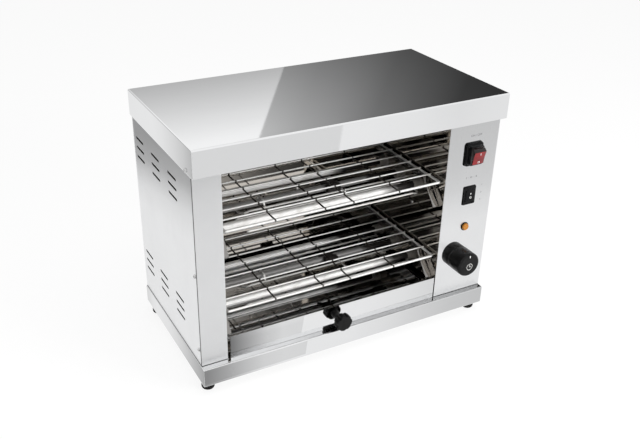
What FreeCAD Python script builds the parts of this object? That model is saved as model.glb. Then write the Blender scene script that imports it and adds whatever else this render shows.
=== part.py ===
import FreeCAD, Part

import math
import os

# Two-level quartz toaster and cheese melter.
# A sheet-metal cabinet holds two wire racks between three banks of quartz tubes.
# A crumb tray slides out below, and the controls sit on a panel to the right of the opening.
# X runs to the right, the front faces -Y, Z is up, and the feet stand on Z = 0.

Vector = FreeCAD.Vector
ALONG_X = Vector(1, 0, 0)
ALONG_Y = Vector(0, 1, 0)
ALONG_Z = Vector(0, 0, 1)

# Cabinet
lid_width = 535.0
lid_depth = 276.0
lid_skirt = 41.5
body_height = 391.5
base_height = 31.0
base_set_in = 1.0
sheet = 1.0
fold_radius = 2.5
side_set_in = 2.7
front_set_back = 12.6
back_set_in = 3.0
overrun = 2.0

# Front frame around the opening
post_width = 43.6
panel_width = 97.9
post_flange = 14.0
side_gap = 1.5
rear_flange = 14.0
header_tuck = 2.0
header_flange = 9.0

# Cavity
cavity_depth = 243.0
ceiling_height = 341.0
trough_rise = 8.0
trough_top_width = 24.0
trough_bottom_width = 40.0

# Heater banks: the lower two stand above the base top, the top one hangs below the ceiling
bank_bottom_height = 53.0
bank_middle_height = 192.0
bank_top_drop = 15.0
bank_middle_y = -4.0
tube_pitch = 53.5
tube_radius = 5.75
tube_wall = 1.2
tube_clearance = 0.3
holder_length = 16.0
holder_radius = 8.5
holder_flange = 3.0
holder_flange_radius = 10.5
holder_socket = 8.0

# Wire guards below the tubes
guard_wire = 1.75
guard_drop = 4.0
guard_half = 15.0
guard_wide_half = 22.0
guard_narrow_half = 12.5
guard_right_reach = 8.0
guard_left_reach = 73.0
guard_right_dip = 7.5
guard_left_dip = 4.5
clip_thickness = 1.0
clip_width = 2.6
clip_lap = 1.9
clip_rise = 3.0
clip_front_x = 60.0
clip_middle_x = -80.0
clip_rear_x = -5.0
support_x = 50.0
support_length = 25.0
support_thickness = 14.4
support_notch = 6.0
support_waist = 10.0
support_clearance = 0.3

# Racks, heights above the base top
rack_upper_height = 219.0
rack_lower_height = 81.5
rack_width = 377.0
rack_depth = 230.4
rack_front_gap = 7.4
rack_frame_wire = 2.0
rack_wire = 1.3
rack_corner = 4.0
rack_bars = 7
rack_stay_inner = 25.0
rack_stay_outer = 109.0
weld_sink = 0.3

# Rails that carry the racks
rail_width = 12.0
rail_sheet = 1.2
rail_leg = 14.0
rail_clearance = 0.3
ramp_start = 46.0
ramp_end = 10.0
ramp_drop = 43.0
ramp_lip = 2.5

# Crumb tray
tray_height = 40.0
tray_lift = 0.3
tray_gap_left = 4.8
tray_gap_right = 2.4
tray_pan_inset = 6.0
tray_pan_height = 20.0
tray_back_gap = 6.0
tray_corner = 3.0
tray_hem = 6.0
tray_hem_drop = 4.0
guide_width = 3.0
guide_height = 9.0
guide_clearance = 0.5

# Star knob on the crumb tray
star_radius = 14.5
star_thickness = 13.0
star_reach = 25.0
star_neck_radius = 6.5
star_lobes = 7
star_flute = 3.6
star_flute_seat = 15.6
star_edge = 2.5
stud_radius = 3.0
stud_clearance = 0.05
stud_depth = 10.0
nut_radius = 5.5
nut_thickness = 5.0

# Main switch: a flange on the panel and a hood that holds the lit rocker
main_x = 47.6
main_drop = 96.0
main_bezel_width = 35.0
main_bezel_height = 40.5
main_bezel_depth = 6.0
main_bezel_corner = 5.0
main_draft = 1.0
main_hood_depth = 13.0
main_hood_corner = 3.0
main_hood_draft = 0.4
main_pivot_depth = 9.5
main_rocker_width = 23.0
main_rocker_radius = 14.9
main_face = 9.9
main_tilt = 12.0
main_rear_height = 33.0
main_rear_depth = 24.0

# Three-position selector
selector_x = 50.7
selector_spacing = 75.8
selector_bezel_width = 26.0
selector_bezel_height = 34.0
selector_bezel_depth = 2.6
selector_bezel_corner = 2.5
selector_draft = 0.7
selector_pivot_depth = -3.0
selector_rocker_width = 16.5
selector_rocker_radius = 12.6
selector_face = 7.8
selector_tilt = 0.0
selector_rear_height = 28.4
selector_rear_depth = 22.0

# Both rockers
rocker_clearance = 0.3
rocker_hub = 5.6
rocker_back = 1.0
rocker_pin = 1.25
pin_clearance = 0.05
switch_wall = 1.6
cutout_clearance = 0.2
swing_room = 5.2

# Pilot lamp
lamp_x = 50.6
lamp_spacing = 59.2
lamp_rim_radius = 7.6
lamp_rim = 1.4
lamp_lens_radius = 6.3
lamp_dome = 3.4
lamp_dome_edge = 2.4
lamp_body_radius = 5.9
lamp_body_length = 22.0

# Timer and its knob
timer_x = 69.4
timer_spacing = 45.2
timer_body = 44.0
timer_body_corner = 3.0
timer_body_depth = 32.0
timer_bush_radius = 5.0
timer_shaft_radius = 3.0
timer_shaft_clearance = 0.05
timer_flat = 1.0
timer_shaft_reach = 30.0
timer_shaft_tail = 16.0
knob_gap = 1.2
knob_length = 48.3
knob_skirt_radius = 20.8
knob_skirt_length = 17.0
knob_groove_radius = 19.6
knob_groove = 2.0
knob_barrel_radius = 21.2
knob_edge = 4.0
knob_wall = 2.5
knob_boss_radius = 6.5
knob_boss_recess = 3.0

# Vents in the side panels
vent_length = 36.0
vent_height = 4.0
vent_columns = 3
vent_rows = 3
vent_column_pitch = 73.3
vent_row_pitch = 16.0
vent_middle_y = 29.5
vent_upper_height = 270.0
vent_lower_height = 63.0

# Feet
foot_height = 18.0
foot_radius = 10.5
foot_round = 4.5
foot_inset_x = 14.5
foot_inset_y = 21.0
foot_recess_radius = 4.0
foot_recess = 9.0
plate_flange = 8.0

# Screws
screw_head_radius = 3.2
screw_head = 1.9
screw_head_round = 1.0
screw_shank = 1.75
screw_length = 7.0
screw_clearance = 0.1
lid_screw_inset = 25.0
lid_screw_rise = 4.2
side_screw_inset = 6.5
side_screw_low = 28.0
side_screw_high = 158.0
back_screw_inset = 6.5
back_screw_low = 30.0
back_screw_high = 280.0
liner_screw_height = 148.0
liner_screw_front = 85.6
liner_screw_rear = 205.0

# Cable gland and terminal block
gland_inset = 74.8
gland_height = 40.0
gland_hex_radius = 12.5
gland_hex = 6.0
gland_dome_radius = 10.5
gland_length = 20.0
gland_round = 4.0
gland_bore = 4.2
gland_thread_radius = 8.0
gland_nut = 5.0
terminal_width = 60.0
terminal_depth = 18.0
terminal_height = 12.0
terminal_poles = 5
terminal_pole_gap = 3.0
terminal_pole_rise = 8.0
terminal_inset = 49.8
terminal_y = 60.0

# Places worked out from the sizes above
knob_reach = lid_depth / 2 - front_set_back + knob_gap + knob_length
gland_reach = lid_depth / 2 - back_set_in + gland_length
body_y = (knob_reach - gland_reach) / 2

lid_left = -lid_width / 2
lid_right = lid_width / 2
lid_front = body_y - lid_depth / 2
lid_back = body_y + lid_depth / 2
base_bottom = foot_height
base_top = base_bottom + base_height
lid_top = base_bottom + body_height
lid_bottom = lid_top - lid_skirt
body_top = lid_top - sheet

left_x = lid_left + side_set_in
right_x = lid_right - side_set_in
front_y = lid_front + front_set_back
back_y = lid_back - back_set_in
opening_left = left_x + post_width
opening_right = right_x - panel_width
opening_middle = (opening_left + opening_right) / 2
cavity_front = front_y + sheet
cavity_back = front_y + cavity_depth
ceiling = base_top + ceiling_height

tube_ys = [body_y + bank_middle_y + step * tube_pitch for step in (-1, 0, 1)]
bank_zs = {
    "bottom": base_top + bank_bottom_height,
    "middle": base_top + bank_middle_height,
    "top": ceiling - bank_top_drop,
}
rack_zs = {"upper": base_top + rack_upper_height, "lower": base_top + rack_lower_height}

main_place = Vector(opening_right + main_x, front_y, body_top - main_drop)
selector_place = Vector(opening_right + selector_x, front_y, main_place.z - selector_spacing)
lamp_place = Vector(opening_right + lamp_x, front_y, selector_place.z - lamp_spacing)
timer_place = Vector(right_x - timer_x, front_y, lamp_place.z - timer_spacing)
star_place = Vector(opening_middle, front_y, base_top + tray_height / 2)
gland_place = Vector(right_x - gland_inset, back_y, base_top + gland_height)
terminal_x = right_x - terminal_inset


# Shape helpers

def block(x0, x1, y0, y1, z0, z1):
    return Part.makeBox(x1 - x0, y1 - y0, z1 - z0, Vector(x0, y0, z0))


def rod(start, end, radius):
    run = end - start
    return Part.makeCylinder(radius, run.Length, start, run)


def outline(points):
    kept = []
    for point in points:
        if not kept or (point - kept[-1]).Length > Part.Precision.confusion():
            kept.append(point)
    return Part.Face(Part.makePolygon(kept + kept[:1]))


def profile_x(points, x0, x1):
    face = outline([Vector(x0, y, z) for y, z in points])
    return face.extrude(Vector(x1 - x0, 0, 0))


def profile_z(points, z0, z1):
    face = outline([Vector(x, y, z0) for x, y in points])
    return face.extrude(Vector(0, 0, z1 - z0))


def band(points, thickness):
    """Closed outline of a bent strip: the points are one face, the other lies to their left."""
    sides = []
    for (a0, b0), (a1, b1) in zip(points, points[1:]):
        length = math.hypot(a1 - a0, b1 - b0)
        sides.append((-(b1 - b0) / length, (a1 - a0) / length))
    offset = []
    for index, (a, b) in enumerate(points):
        before = sides[max(index - 1, 0)]
        after = sides[min(index, len(sides) - 1)]
        scale = thickness / (1 + before[0] * after[0] + before[1] * after[1])
        offset.append((a + (before[0] + after[0]) * scale, b + (before[1] + after[1]) * scale))
    return list(points) + offset[::-1]


def turned(profile, place, axis_turn):
    """Revolves (radius, distance) pairs about an axis through place that points along axis_turn."""
    face = outline([Vector(radius, 0, distance) for radius, distance in profile])
    solid = face.revolve(Vector(0, 0, 0), ALONG_Z, 360)
    solid.Placement = FreeCAD.Placement(place, FreeCAD.Rotation(ALONG_Z, axis_turn))
    return solid


def upright_edges(shape):
    return [edge for edge in shape.Edges if abs(edge.tangentAt(edge.FirstParameter).z) > abs(
        edge.tangentAt(edge.FirstParameter).x) + abs(edge.tangentAt(edge.FirstParameter).y)]


def edges_at(shape, axis, value):
    found = []
    for edge in shape.Edges:
        places = [getattr(vertex.Point, axis) for vertex in edge.Vertexes]
        if places and max(abs(place - value) for place in places) < Part.Precision.approximation():
            found.append(edge)
    return found


def rounded_block(x0, x1, y0, y1, z0, z1, upright, top):
    solid = block(x0, x1, y0, y1, z0, z1)
    solid = solid.makeFillet(upright, upright_edges(solid))
    return solid.makeFillet(top, edges_at(solid, "z", z1)) if top else solid


def folded_cover(x0, x1, y0, y1, z0, z1):
    """Folded sheet cover, open underneath."""
    outer = rounded_block(x0, x1, y0, y1, z0, z1, fold_radius, fold_radius)
    inner_radius = fold_radius - sheet
    inner = rounded_block(x0 + sheet, x1 - sheet, y0 + sheet, y1 - sheet,
                          z0 - overrun, z1 - sheet, inner_radius, inner_radius)
    return outer.cut(inner)


def open_pan(x0, x1, y0, y1, z0, z1, corner):
    """Folded sheet pan, open on top."""
    outer = rounded_block(x0, x1, y0, y1, z0, z1, corner, 0)
    inner = rounded_block(x0 + sheet, x1 - sheet, y0 + sheet, y1 - sheet,
                          z0 + sheet, z1 + overrun, corner - sheet, 0)
    return outer.cut(inner)


def channel(x0, x1, face_y, z0, z1):
    """Upright sheet with a flange at each side, set in by one sheet to lie behind its neighbour."""
    skin = face_y + sheet
    tip = face_y + post_flange
    points = [(x0, face_y), (x1, face_y), (x1, skin), (x1 - sheet, skin), (x1 - sheet, tip),
              (x1 - sheet - sheet, tip), (x1 - sheet - sheet, skin), (x0 + sheet + sheet, skin),
              (x0 + sheet + sheet, tip), (x0 + sheet, tip), (x0 + sheet, skin), (x0, skin)]
    return profile_z(points, z0, z1)


# Screws: one list of places serves the holes and the screws

left_screw_zs = [base_top + side_screw_low, base_top + side_screw_high]
side_screw_y = front_y + side_screw_inset
back_screw_zs = [base_top + back_screw_low, (base_top + back_screw_low + base_top + back_screw_high) / 2,
                 base_top + back_screw_high]
lid_screw_place_y = lid_front + lid_screw_inset
lid_screw_place_z = lid_bottom + lid_screw_rise
back_screw_xs = [left_x + back_screw_inset, right_x - back_screw_inset]

LEFT_IN = FreeCAD.Rotation(ALONG_Z, ALONG_X)
RIGHT_IN = FreeCAD.Rotation(ALONG_Z, Vector(-1, 0, 0))
BACK_IN = FreeCAD.Rotation(ALONG_Z, Vector(0, -1, 0))
UP_IN = FreeCAD.Rotation(ALONG_Z, ALONG_Z)


def screw(place, turn):
    """Pan-head screw whose head sits on the face at place."""
    head = Part.makeCylinder(screw_head_radius, screw_head, Vector(0, 0, -screw_head))
    head = head.makeFillet(screw_head_round, edges_at(head, "z", -screw_head))
    solid = head.fuse(Part.makeCylinder(screw_shank, screw_length)).removeSplitter()
    solid.Placement = FreeCAD.Placement(place, turn)
    return solid


def screw_holes(places, turn):
    holes = []
    for place in places:
        hole = Part.makeCylinder(screw_shank + screw_clearance, screw_length + overrun,
                                 Vector(0, 0, -overrun))
        hole.Placement = FreeCAD.Placement(place, turn)
        holes.append(hole)
    return holes


left_screw_places = [Vector(left_x, side_screw_y, z) for z in left_screw_zs]
right_screw_places = [Vector(right_x, side_screw_y, z) for z in left_screw_zs]
back_screw_places = [Vector(x, back_y, z) for x in back_screw_xs for z in back_screw_zs]
liner_screw_ys = [front_y + liner_screw_front, front_y + liner_screw_rear]
left_liner_places = [Vector(opening_left, y, base_top + liner_screw_height) for y in liner_screw_ys]
right_liner_places = [Vector(opening_right, y, base_top + liner_screw_height) for y in liner_screw_ys]
lid_left_place = Vector(lid_left, lid_screw_place_y, lid_screw_place_z)
lid_right_place = Vector(lid_right, lid_screw_place_y, lid_screw_place_z)


# Cabinet

def top_cover():
    cover = folded_cover(lid_left, lid_right, lid_front, lid_back, lid_bottom, lid_top)
    return cover.cut(screw_holes([lid_left_place], LEFT_IN) + screw_holes([lid_right_place], RIGHT_IN))


def base_pan():
    return folded_cover(lid_left + base_set_in, lid_right - base_set_in, lid_front + base_set_in,
                        lid_back - base_set_in, base_bottom, base_top)


foot_places = [Vector(x, y, base_bottom)
               for x in (lid_left + foot_inset_x, lid_right - foot_inset_x)
               for y in (lid_front + foot_inset_y, lid_back - foot_inset_y)]


def bottom_plate():
    inset = base_set_in + sheet
    plate = open_pan(lid_left + inset, lid_right - inset, lid_front + inset, lid_back - inset,
                     base_bottom, base_bottom + plate_flange, fold_radius)
    return plate.cut(screw_holes(foot_places, UP_IN))


def vents(x0, x1):
    """Round-ended slots in two groups, cut through a side panel."""
    cutters = []
    radius = vent_height / 2
    half_run = vent_length / 2 - radius
    for group_z in (base_top + vent_upper_height, base_top + vent_lower_height):
        for row in range(vent_rows):
            z = group_z + (row - (vent_rows - 1) / 2) * vent_row_pitch
            for column in range(vent_columns):
                y = body_y + vent_middle_y + (column - (vent_columns - 1) / 2) * vent_column_pitch
                slot = block(x0 - overrun, x1 + overrun, y - half_run, y + half_run, z - radius, z + radius)
                for end in (y - half_run, y + half_run):
                    start = Vector(x0 - overrun, end, z)
                    slot = slot.fuse(rod(start, Vector(x1 + overrun, end, z), radius))
                cutters.append(slot.removeSplitter())
    return cutters


def lid_screw_holes():
    return screw_holes([lid_left_place], LEFT_IN) + screw_holes([lid_right_place], RIGHT_IN)


def side_panel(face_x, inward, holes):
    """Flat side with its vents and a flange at the rear that takes the back panel's screws."""
    inner_x = face_x + inward * sheet
    tip_x = face_x + inward * rear_flange
    rear = back_y - sheet
    points = [(face_x, front_y + side_gap), (face_x, rear), (tip_x, rear), (tip_x, rear - sheet),
              (inner_x, rear - sheet), (inner_x, front_y + side_gap)]
    panel = profile_z(points, base_top, body_top)
    vent_cuts = vents(min(face_x, inner_x), max(face_x, inner_x))
    return panel.cut(vent_cuts + holes + lid_screw_holes() + screw_holes(back_screw_places, BACK_IN))


def left_side_panel():
    return side_panel(left_x, 1, screw_holes(left_screw_places, LEFT_IN))


def right_side_panel():
    return side_panel(right_x, -1, screw_holes(right_screw_places, RIGHT_IN))


def front_left_post():
    post = channel(left_x, opening_left, front_y, base_top, body_top)
    return post.cut(screw_holes(left_screw_places, LEFT_IN) + lid_screw_holes())


def control_panel():
    panel = channel(opening_right, right_x, front_y, base_top, body_top)
    cuts = screw_holes(right_screw_places, RIGHT_IN) + lid_screw_holes()
    for place, width, height in (
            (main_place, main_rocker_width + rocker_clearance * 2 + switch_wall * 2, main_rear_height),
            (selector_place, selector_rocker_width + rocker_clearance * 2 + switch_wall * 2,
             selector_rear_height)):
        half_width = width / 2 + cutout_clearance
        half_height = height / 2 + cutout_clearance
        cuts.append(block(place.x - half_width, place.x + half_width, front_y - overrun,
                          front_y + overrun, place.z - half_height, place.z + half_height))
    for place, radius in ((lamp_place, lamp_body_radius), (timer_place, timer_bush_radius)):
        cuts.append(Part.makeCylinder(radius + cutout_clearance, overrun * 2,
                                      place - ALONG_Y * overrun, ALONG_Y))
    return panel.cut(cuts)


def front_header():
    """Strip that closes the front above the opening, hidden behind the lid's skirt."""
    bottom = lid_bottom + header_tuck
    points = band([(front_y + header_flange, bottom), (front_y, bottom), (front_y, body_top)], -sheet)
    return profile_x(points, opening_left, opening_right)


def back_panel():
    panel = block(left_x, right_x, back_y - sheet, back_y, base_top, body_top)
    hole = Part.makeCylinder(gland_thread_radius + cutout_clearance, overrun * 2,
                             gland_place - ALONG_Y * overrun, ALONG_Y)
    return panel.cut(screw_holes(back_screw_places, BACK_IN) + [hole])


def cavity_side(x0, screws, turn):
    liner = block(x0, x0 + sheet, cavity_front, cavity_back, base_top, ceiling)
    return liner.cut(screw_holes(screws, turn))


def cavity_back_liner():
    return block(opening_left - sheet, opening_right + sheet, cavity_back, cavity_back + sheet,
                 base_top, ceiling)


def ceiling_reflector():
    """Polished ceiling with a shallow trough over each tube."""
    points = [(cavity_front, ceiling)]
    for y in tube_ys:
        points += [(y - trough_bottom_width / 2, ceiling), (y - trough_top_width / 2, ceiling + trough_rise),
                   (y + trough_top_width / 2, ceiling + trough_rise), (y + trough_bottom_width / 2, ceiling)]
    points.append((cavity_back + sheet, ceiling))
    return profile_x(band(points, sheet), opening_left - sheet, opening_right + sheet)


# Heater banks

def quartz_tubes(z):
    """Three milky quartz tubes with open bores, held by a socket at each end."""
    tubes = []
    depth = holder_length - holder_socket + tube_clearance
    for y in tube_ys:
        start = Vector(opening_left + depth, y, z)
        end = Vector(opening_right - depth, y, z)
        tubes.append(rod(start, end, tube_radius).cut(rod(start, end, tube_radius - tube_wall)))
    return tubes


def tube_holders(z):
    """Ceramic socket at each end of each tube, with a flange on the cavity wall."""
    socket_radius = tube_radius + tube_clearance
    floor = holder_length - holder_socket
    profile = [(0, 0), (holder_flange_radius, 0), (holder_flange_radius, holder_flange),
               (holder_radius, holder_flange), (holder_radius, holder_length),
               (socket_radius, holder_length), (socket_radius, floor), (0, floor)]
    holders = []
    for y in tube_ys:
        holders.append(turned(profile, Vector(opening_left, y, z), ALONG_X))
        holders.append(turned(profile, Vector(opening_right, y, z), Vector(-1, 0, 0)))
    return holders


def guard_halves(level):
    """Half widths of the three hairpins: the front one differs between the banks."""
    front = guard_narrow_half if level == "bottom" else guard_wide_half
    return [front, guard_half, guard_half]


def guard_wires(level):
    """Hairpin wires along both sides of each tube, entering from alternate walls.

    Each bend dips to pass below its tube, and one at the right wall below the tube's holder too.
    """
    wires = []
    height = bank_zs[level] - guard_drop
    for index, (y, half) in enumerate(zip(tube_ys, guard_halves(level))):
        from_right = index % 2
        wall = opening_right if from_right else opening_left
        bend = opening_left + guard_left_reach + half if from_right else opening_right - guard_right_reach - half
        dip = guard_left_dip if from_right else guard_right_dip
        outward = math.sqrt(half ** 2 - dip ** 2) * (-1 if from_right else 1)
        first = Vector(wall, y - half, height)
        turn_in = Vector(bend, y - half, height)
        tip = Vector(bend + outward, y, height - dip)
        turn_out = Vector(bend, y + half, height)
        last = Vector(wall, y + half, height)
        path = Part.Wire([Part.LineSegment(first, turn_in).toShape(), Part.Arc(turn_in, tip, turn_out).toShape(),
                          Part.LineSegment(turn_out, last).toShape()])
        section = Part.Wire([Part.Circle(first, turn_in - first, guard_wire).toShape()])
        wires.append(path.makePipeShell([section], True, False))
    return wires


def guard_clip(x, start, end, z, rise):
    """Bent strip that lies on two guard wires and rises between them."""
    foot = z - guard_drop + guard_wire
    points = [(start - clip_lap, foot), (start + clip_lap, foot), (start + clip_lap + rise / 2, foot + rise),
              (end - clip_lap - rise / 2, foot + rise), (end - clip_lap, foot), (end + clip_lap, foot)]
    return profile_x(band(points, clip_thickness), x, x + clip_width)


def guard_clips():
    """Clips that tie neighbouring hairpins together, and one over the middle tube."""
    clips = []
    front, middle, rear = tube_ys
    over_tube = guard_drop - guard_wire + tube_radius + tube_clearance
    for level, z in bank_zs.items():
        halves = guard_halves(level)
        clips += [guard_clip(opening_middle + clip_front_x, front + halves[0], middle - halves[1], z, clip_rise),
                  guard_clip(opening_middle + clip_rear_x, middle + halves[1], rear - halves[2], z, clip_rise),
                  guard_clip(opening_middle + clip_middle_x, middle - halves[1], middle + halves[1], z, over_tube)]
    return clips


def centre_support(z):
    """Dark ceramic rest for the middle tube, waisted in plan, held between its guard wires."""
    x = opening_middle + support_x
    y = tube_ys[1]
    half = support_length / 2
    side = guard_half - guard_wire - support_clearance
    waist = support_waist / 2
    plan = [(x - half, y - side), (x - waist, y - side + support_notch), (x + waist, y - side + support_notch),
            (x + half, y - side), (x + half, y - waist), (x + half - support_notch, y),
            (x + half, y + waist), (x + half, y + side), (x + waist, y + side - support_notch),
            (x - waist, y + side - support_notch), (x - half, y + side), (x - half, y + waist),
            (x - half + support_notch, y), (x - half, y - waist)]
    body = profile_z(plan, z - support_thickness / 2, z + support_thickness / 2)
    start = Vector(x - half - overrun, y, z)
    return body.cut(rod(start, Vector(x + half + overrun, y, z), tube_radius + support_clearance))


def centre_supports():
    return [centre_support(z) for z in bank_zs.values()]


# Racks and rails

def rack(z):
    """Welded wire rack: a bent frame, bars on top across it and stays below the bars."""
    left = opening_middle - rack_width / 2
    right = opening_middle + rack_width / 2
    front = front_y + rack_front_gap
    back = front + rack_depth
    corner = rack_corner
    bend = corner * (1 - math.sqrt(0.5))
    runs = [(Vector(left + corner, front, z), Vector(right - corner, front, z)),
            (Vector(right, front + corner, z), Vector(right, back - corner, z)),
            (Vector(right - corner, back, z), Vector(left + corner, back, z)),
            (Vector(left, back - corner, z), Vector(left, front + corner, z))]
    middles = [Vector(right - bend, front + bend, z), Vector(right - bend, back - bend, z),
               Vector(left + bend, back - bend, z), Vector(left + bend, front + bend, z)]
    edges = []
    for index, (start, end) in enumerate(runs):
        edges.append(Part.LineSegment(start, end).toShape())
        edges.append(Part.Arc(end, middles[index], runs[(index + 1) % len(runs)][0]).toShape())
    start, end = runs[0]
    section = Part.Wire([Part.Circle(start, end - start, rack_frame_wire).toShape()])
    solid = Part.Wire(edges).makePipeShell([section], True, False)

    bar_z = z + rack_frame_wire + rack_wire - weld_sink
    stay_z = bar_z - rack_wire * 2 + weld_sink
    pieces = []
    for index in range(rack_bars):
        y = front + rack_depth * (index + 1) / (rack_bars + 1)
        pieces.append(rod(Vector(left - rack_frame_wire, y, bar_z), Vector(right + rack_frame_wire, y, bar_z),
                          rack_wire))
    for offset in (-rack_stay_outer, -rack_stay_inner, rack_stay_inner, rack_stay_outer):
        x = opening_middle + offset
        pieces.append(rod(Vector(x, front, stay_z), Vector(x, back, stay_z), rack_wire))
    return solid.fuse(pieces)


def rail(z, wall, inward):
    """Folded rail for one side of a rack, its front end bent down as a lead-in ramp."""
    top = z - rack_frame_wire - rail_clearance
    start = front_y + ramp_start
    end = front_y + ramp_end
    low = top - ramp_drop
    points = [(cavity_back, top), (start, top), (end, low), (end + ramp_lip, low - ramp_lip)]
    inner = wall + inward * rail_width
    shelf = profile_x(band(points, rail_sheet), min(wall, inner), max(wall, inner))
    leg_inner = wall + inward * rail_sheet
    leg = block(min(wall, leg_inner), max(wall, leg_inner), start, cavity_back, top - rail_leg, top)
    return shelf.fuse(leg).removeSplitter()


# Crumb tray

tray_left = opening_left + tray_gap_left
tray_right = opening_right - tray_gap_right
tray_floor = base_top + tray_lift
tray_top = base_top + tray_height
pan_left = tray_left + tray_pan_inset
pan_right = tray_right - tray_pan_inset


def crumb_tray():
    """Pan with a tall hemmed front plate."""
    pan = open_pan(pan_left, pan_right, front_y, cavity_back - tray_back_gap, tray_floor,
                   tray_floor + tray_pan_height, tray_corner)
    hem = [(front_y + tray_hem, tray_top - tray_hem_drop), (front_y + tray_hem, tray_top), (front_y, tray_top),
           (front_y, tray_floor)]
    front = profile_x(band(hem, sheet), tray_left, tray_right)
    hole = Part.makeCylinder(stud_radius + screw_clearance, overrun * 2, star_place - ALONG_Y * overrun, ALONG_Y)
    return pan.fuse(front).cut(hole).removeSplitter()


def tray_guides():
    guides = []
    for x0, x1 in ((opening_left, pan_left - guide_clearance), (pan_right + guide_clearance, opening_right)):
        near = x1 if x0 == opening_left else x0
        inner = near - guide_width if x0 == opening_left else near + guide_width
        upright = block(min(near, inner), max(near, inner), front_y + ramp_start, cavity_back, base_top,
                        base_top + guide_height)
        foot = block(x0, x1, front_y + ramp_start, cavity_back, base_top, base_top + sheet)
        guides.append(upright.fuse(foot).removeSplitter())
    return guides


def tray_knob():
    """Fluted star knob with a neck that stands on the tray front."""
    head = Part.makeCylinder(star_radius, star_thickness)
    head = head.makeFillet(star_edge, edges_at(head, "z", 0) + edges_at(head, "z", star_thickness))
    flutes = []
    for index in range(star_lobes):
        angle = 2 * math.pi * (index + 1 / 2) / star_lobes
        seat = Vector(star_flute_seat * math.cos(angle), star_flute_seat * math.sin(angle), -overrun)
        flutes.append(Part.makeCylinder(star_flute, star_thickness + overrun * 2, seat))
    neck_length = star_reach - star_thickness
    head = head.cut(flutes)
    neck = Part.makeCylinder(star_neck_radius, neck_length, Vector(0, 0, -neck_length))
    bore = Part.makeCylinder(stud_radius + stud_clearance, stud_depth + overrun,
                             Vector(0, 0, -neck_length - overrun))
    knob = head.fuse(neck).cut(bore)
    knob.Placement = FreeCAD.Placement(star_place - ALONG_Y * neck_length,
                                       FreeCAD.Rotation(ALONG_Z, Vector(0, -1, 0)))
    return knob


def tray_knob_stud():
    """Threaded stud through the tray front with its hexagon nut inside."""
    back = front_y + sheet
    start = star_place - ALONG_Y * (stud_depth - stud_clearance)
    stud = rod(start, Vector(star_place.x, back + nut_thickness + sheet, star_place.z), stud_radius)
    corners = []
    for index in range(6):
        angle = math.pi * index / 3
        corners.append(Vector(star_place.x + nut_radius * math.cos(angle), back,
                              star_place.z + nut_radius * math.sin(angle)))
    return stud.fuse(outline(corners).extrude(Vector(0, nut_thickness, 0)))


# Rocker switches

def rounded_plate(place, width, height, corner, y):
    """Closed wire of a rounded rectangle square to Y."""
    plate = block(place.x - width / 2, place.x + width / 2, y, y + overrun,
                  place.z - height / 2, place.z + height / 2)
    along_y = [edge for edge in plate.Edges if abs(edge.tangentAt(edge.FirstParameter).y) > 1 / 2]
    plate = plate.makeFillet(corner, along_y)
    face = [item for item in plate.Faces if abs(item.CenterOfMass.y - y) < Part.Precision.approximation()]
    return face[0].OuterWire


def drafted_frame(place, width, height, depth, corner, draft):
    """Rounded frame on the panel, a little narrower at its front."""
    wide = rounded_plate(place, width, height, corner, front_y)
    narrow = rounded_plate(place, width - draft * 2, height - draft * 2, corner - draft / 2, front_y - depth)
    return Part.makeLoft([wide, narrow], True, True)


def switch_body(place, bezel, pivot_depth, rocker_width, rocker_radius, rear_height, rear_depth):
    """Bezel on the panel, body behind it, a hollow for the rocker and the rocker's pivot pin."""
    pivot = Vector(place.x, front_y - pivot_depth, place.z)
    half = rocker_width / 2 + rocker_clearance
    body_half = half + switch_wall
    rear = block(place.x - body_half, place.x + body_half, front_y, front_y + rear_depth,
                 place.z - rear_height / 2, place.z + rear_height / 2)
    swing = Part.makeCylinder(rocker_radius + rocker_clearance, half * 2, pivot - ALONG_X * half, ALONG_X)
    swing = swing.cut(block(place.x - rear_height, place.x + rear_height, pivot.y + swing_room,
                            pivot.y + rear_height, place.z - rear_height, place.z + rear_height))
    hub = Part.makeCylinder(rocker_hub + rocker_clearance, half * 2, pivot - ALONG_X * half, ALONG_X)
    pin = Part.makeCylinder(rocker_pin, half * 2, pivot - ALONG_X * half, ALONG_X)
    return bezel.fuse(rear).cut([swing, hub]).fuse(pin)


def rocker(place, pivot_depth, width, radius, face, tilt):
    """Rocker with two shallow facets, tilted about its pivot."""
    pivot = Vector(place.x, front_y - pivot_depth, place.z)
    half = width / 2
    start = pivot - ALONG_X * half
    body = Part.makeCylinder(radius, width, start, ALONG_X)
    reach = radius + overrun
    facet = [(pivot.y - reach, pivot.z - reach), (pivot.y - face, pivot.z - reach),
             (pivot.y - face + rocker_back, pivot.z), (pivot.y - face, pivot.z + reach),
             (pivot.y - reach, pivot.z + reach)]
    x0 = pivot.x - half - overrun
    x1 = pivot.x + half + overrun
    body = body.cut([profile_x(facet, x0, x1), block(x0, x1, pivot.y + rocker_back, pivot.y + reach,
                                                     pivot.z - reach, pivot.z + reach)])
    body = body.fuse(Part.makeCylinder(rocker_hub, width, start, ALONG_X))
    body = body.cut(Part.makeCylinder(rocker_pin + pin_clearance, width + overrun * 2,
                                      start - ALONG_X * overrun, ALONG_X))
    body.rotate(pivot, ALONG_X, tilt)
    return body.removeSplitter()


def main_switch_body():
    flange = drafted_frame(main_place, main_bezel_width, main_bezel_height, main_bezel_depth,
                           main_bezel_corner, main_draft)
    hood = drafted_frame(main_place, main_rocker_width + rocker_clearance * 2 + switch_wall * 2,
                         main_rear_height, main_hood_depth, main_hood_corner, main_hood_draft)
    return switch_body(main_place, flange.fuse(hood), main_pivot_depth, main_rocker_width,
                       main_rocker_radius, main_rear_height, main_rear_depth)


def main_switch_rocker():
    return rocker(main_place, main_pivot_depth, main_rocker_width, main_rocker_radius, main_face, main_tilt)


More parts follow.
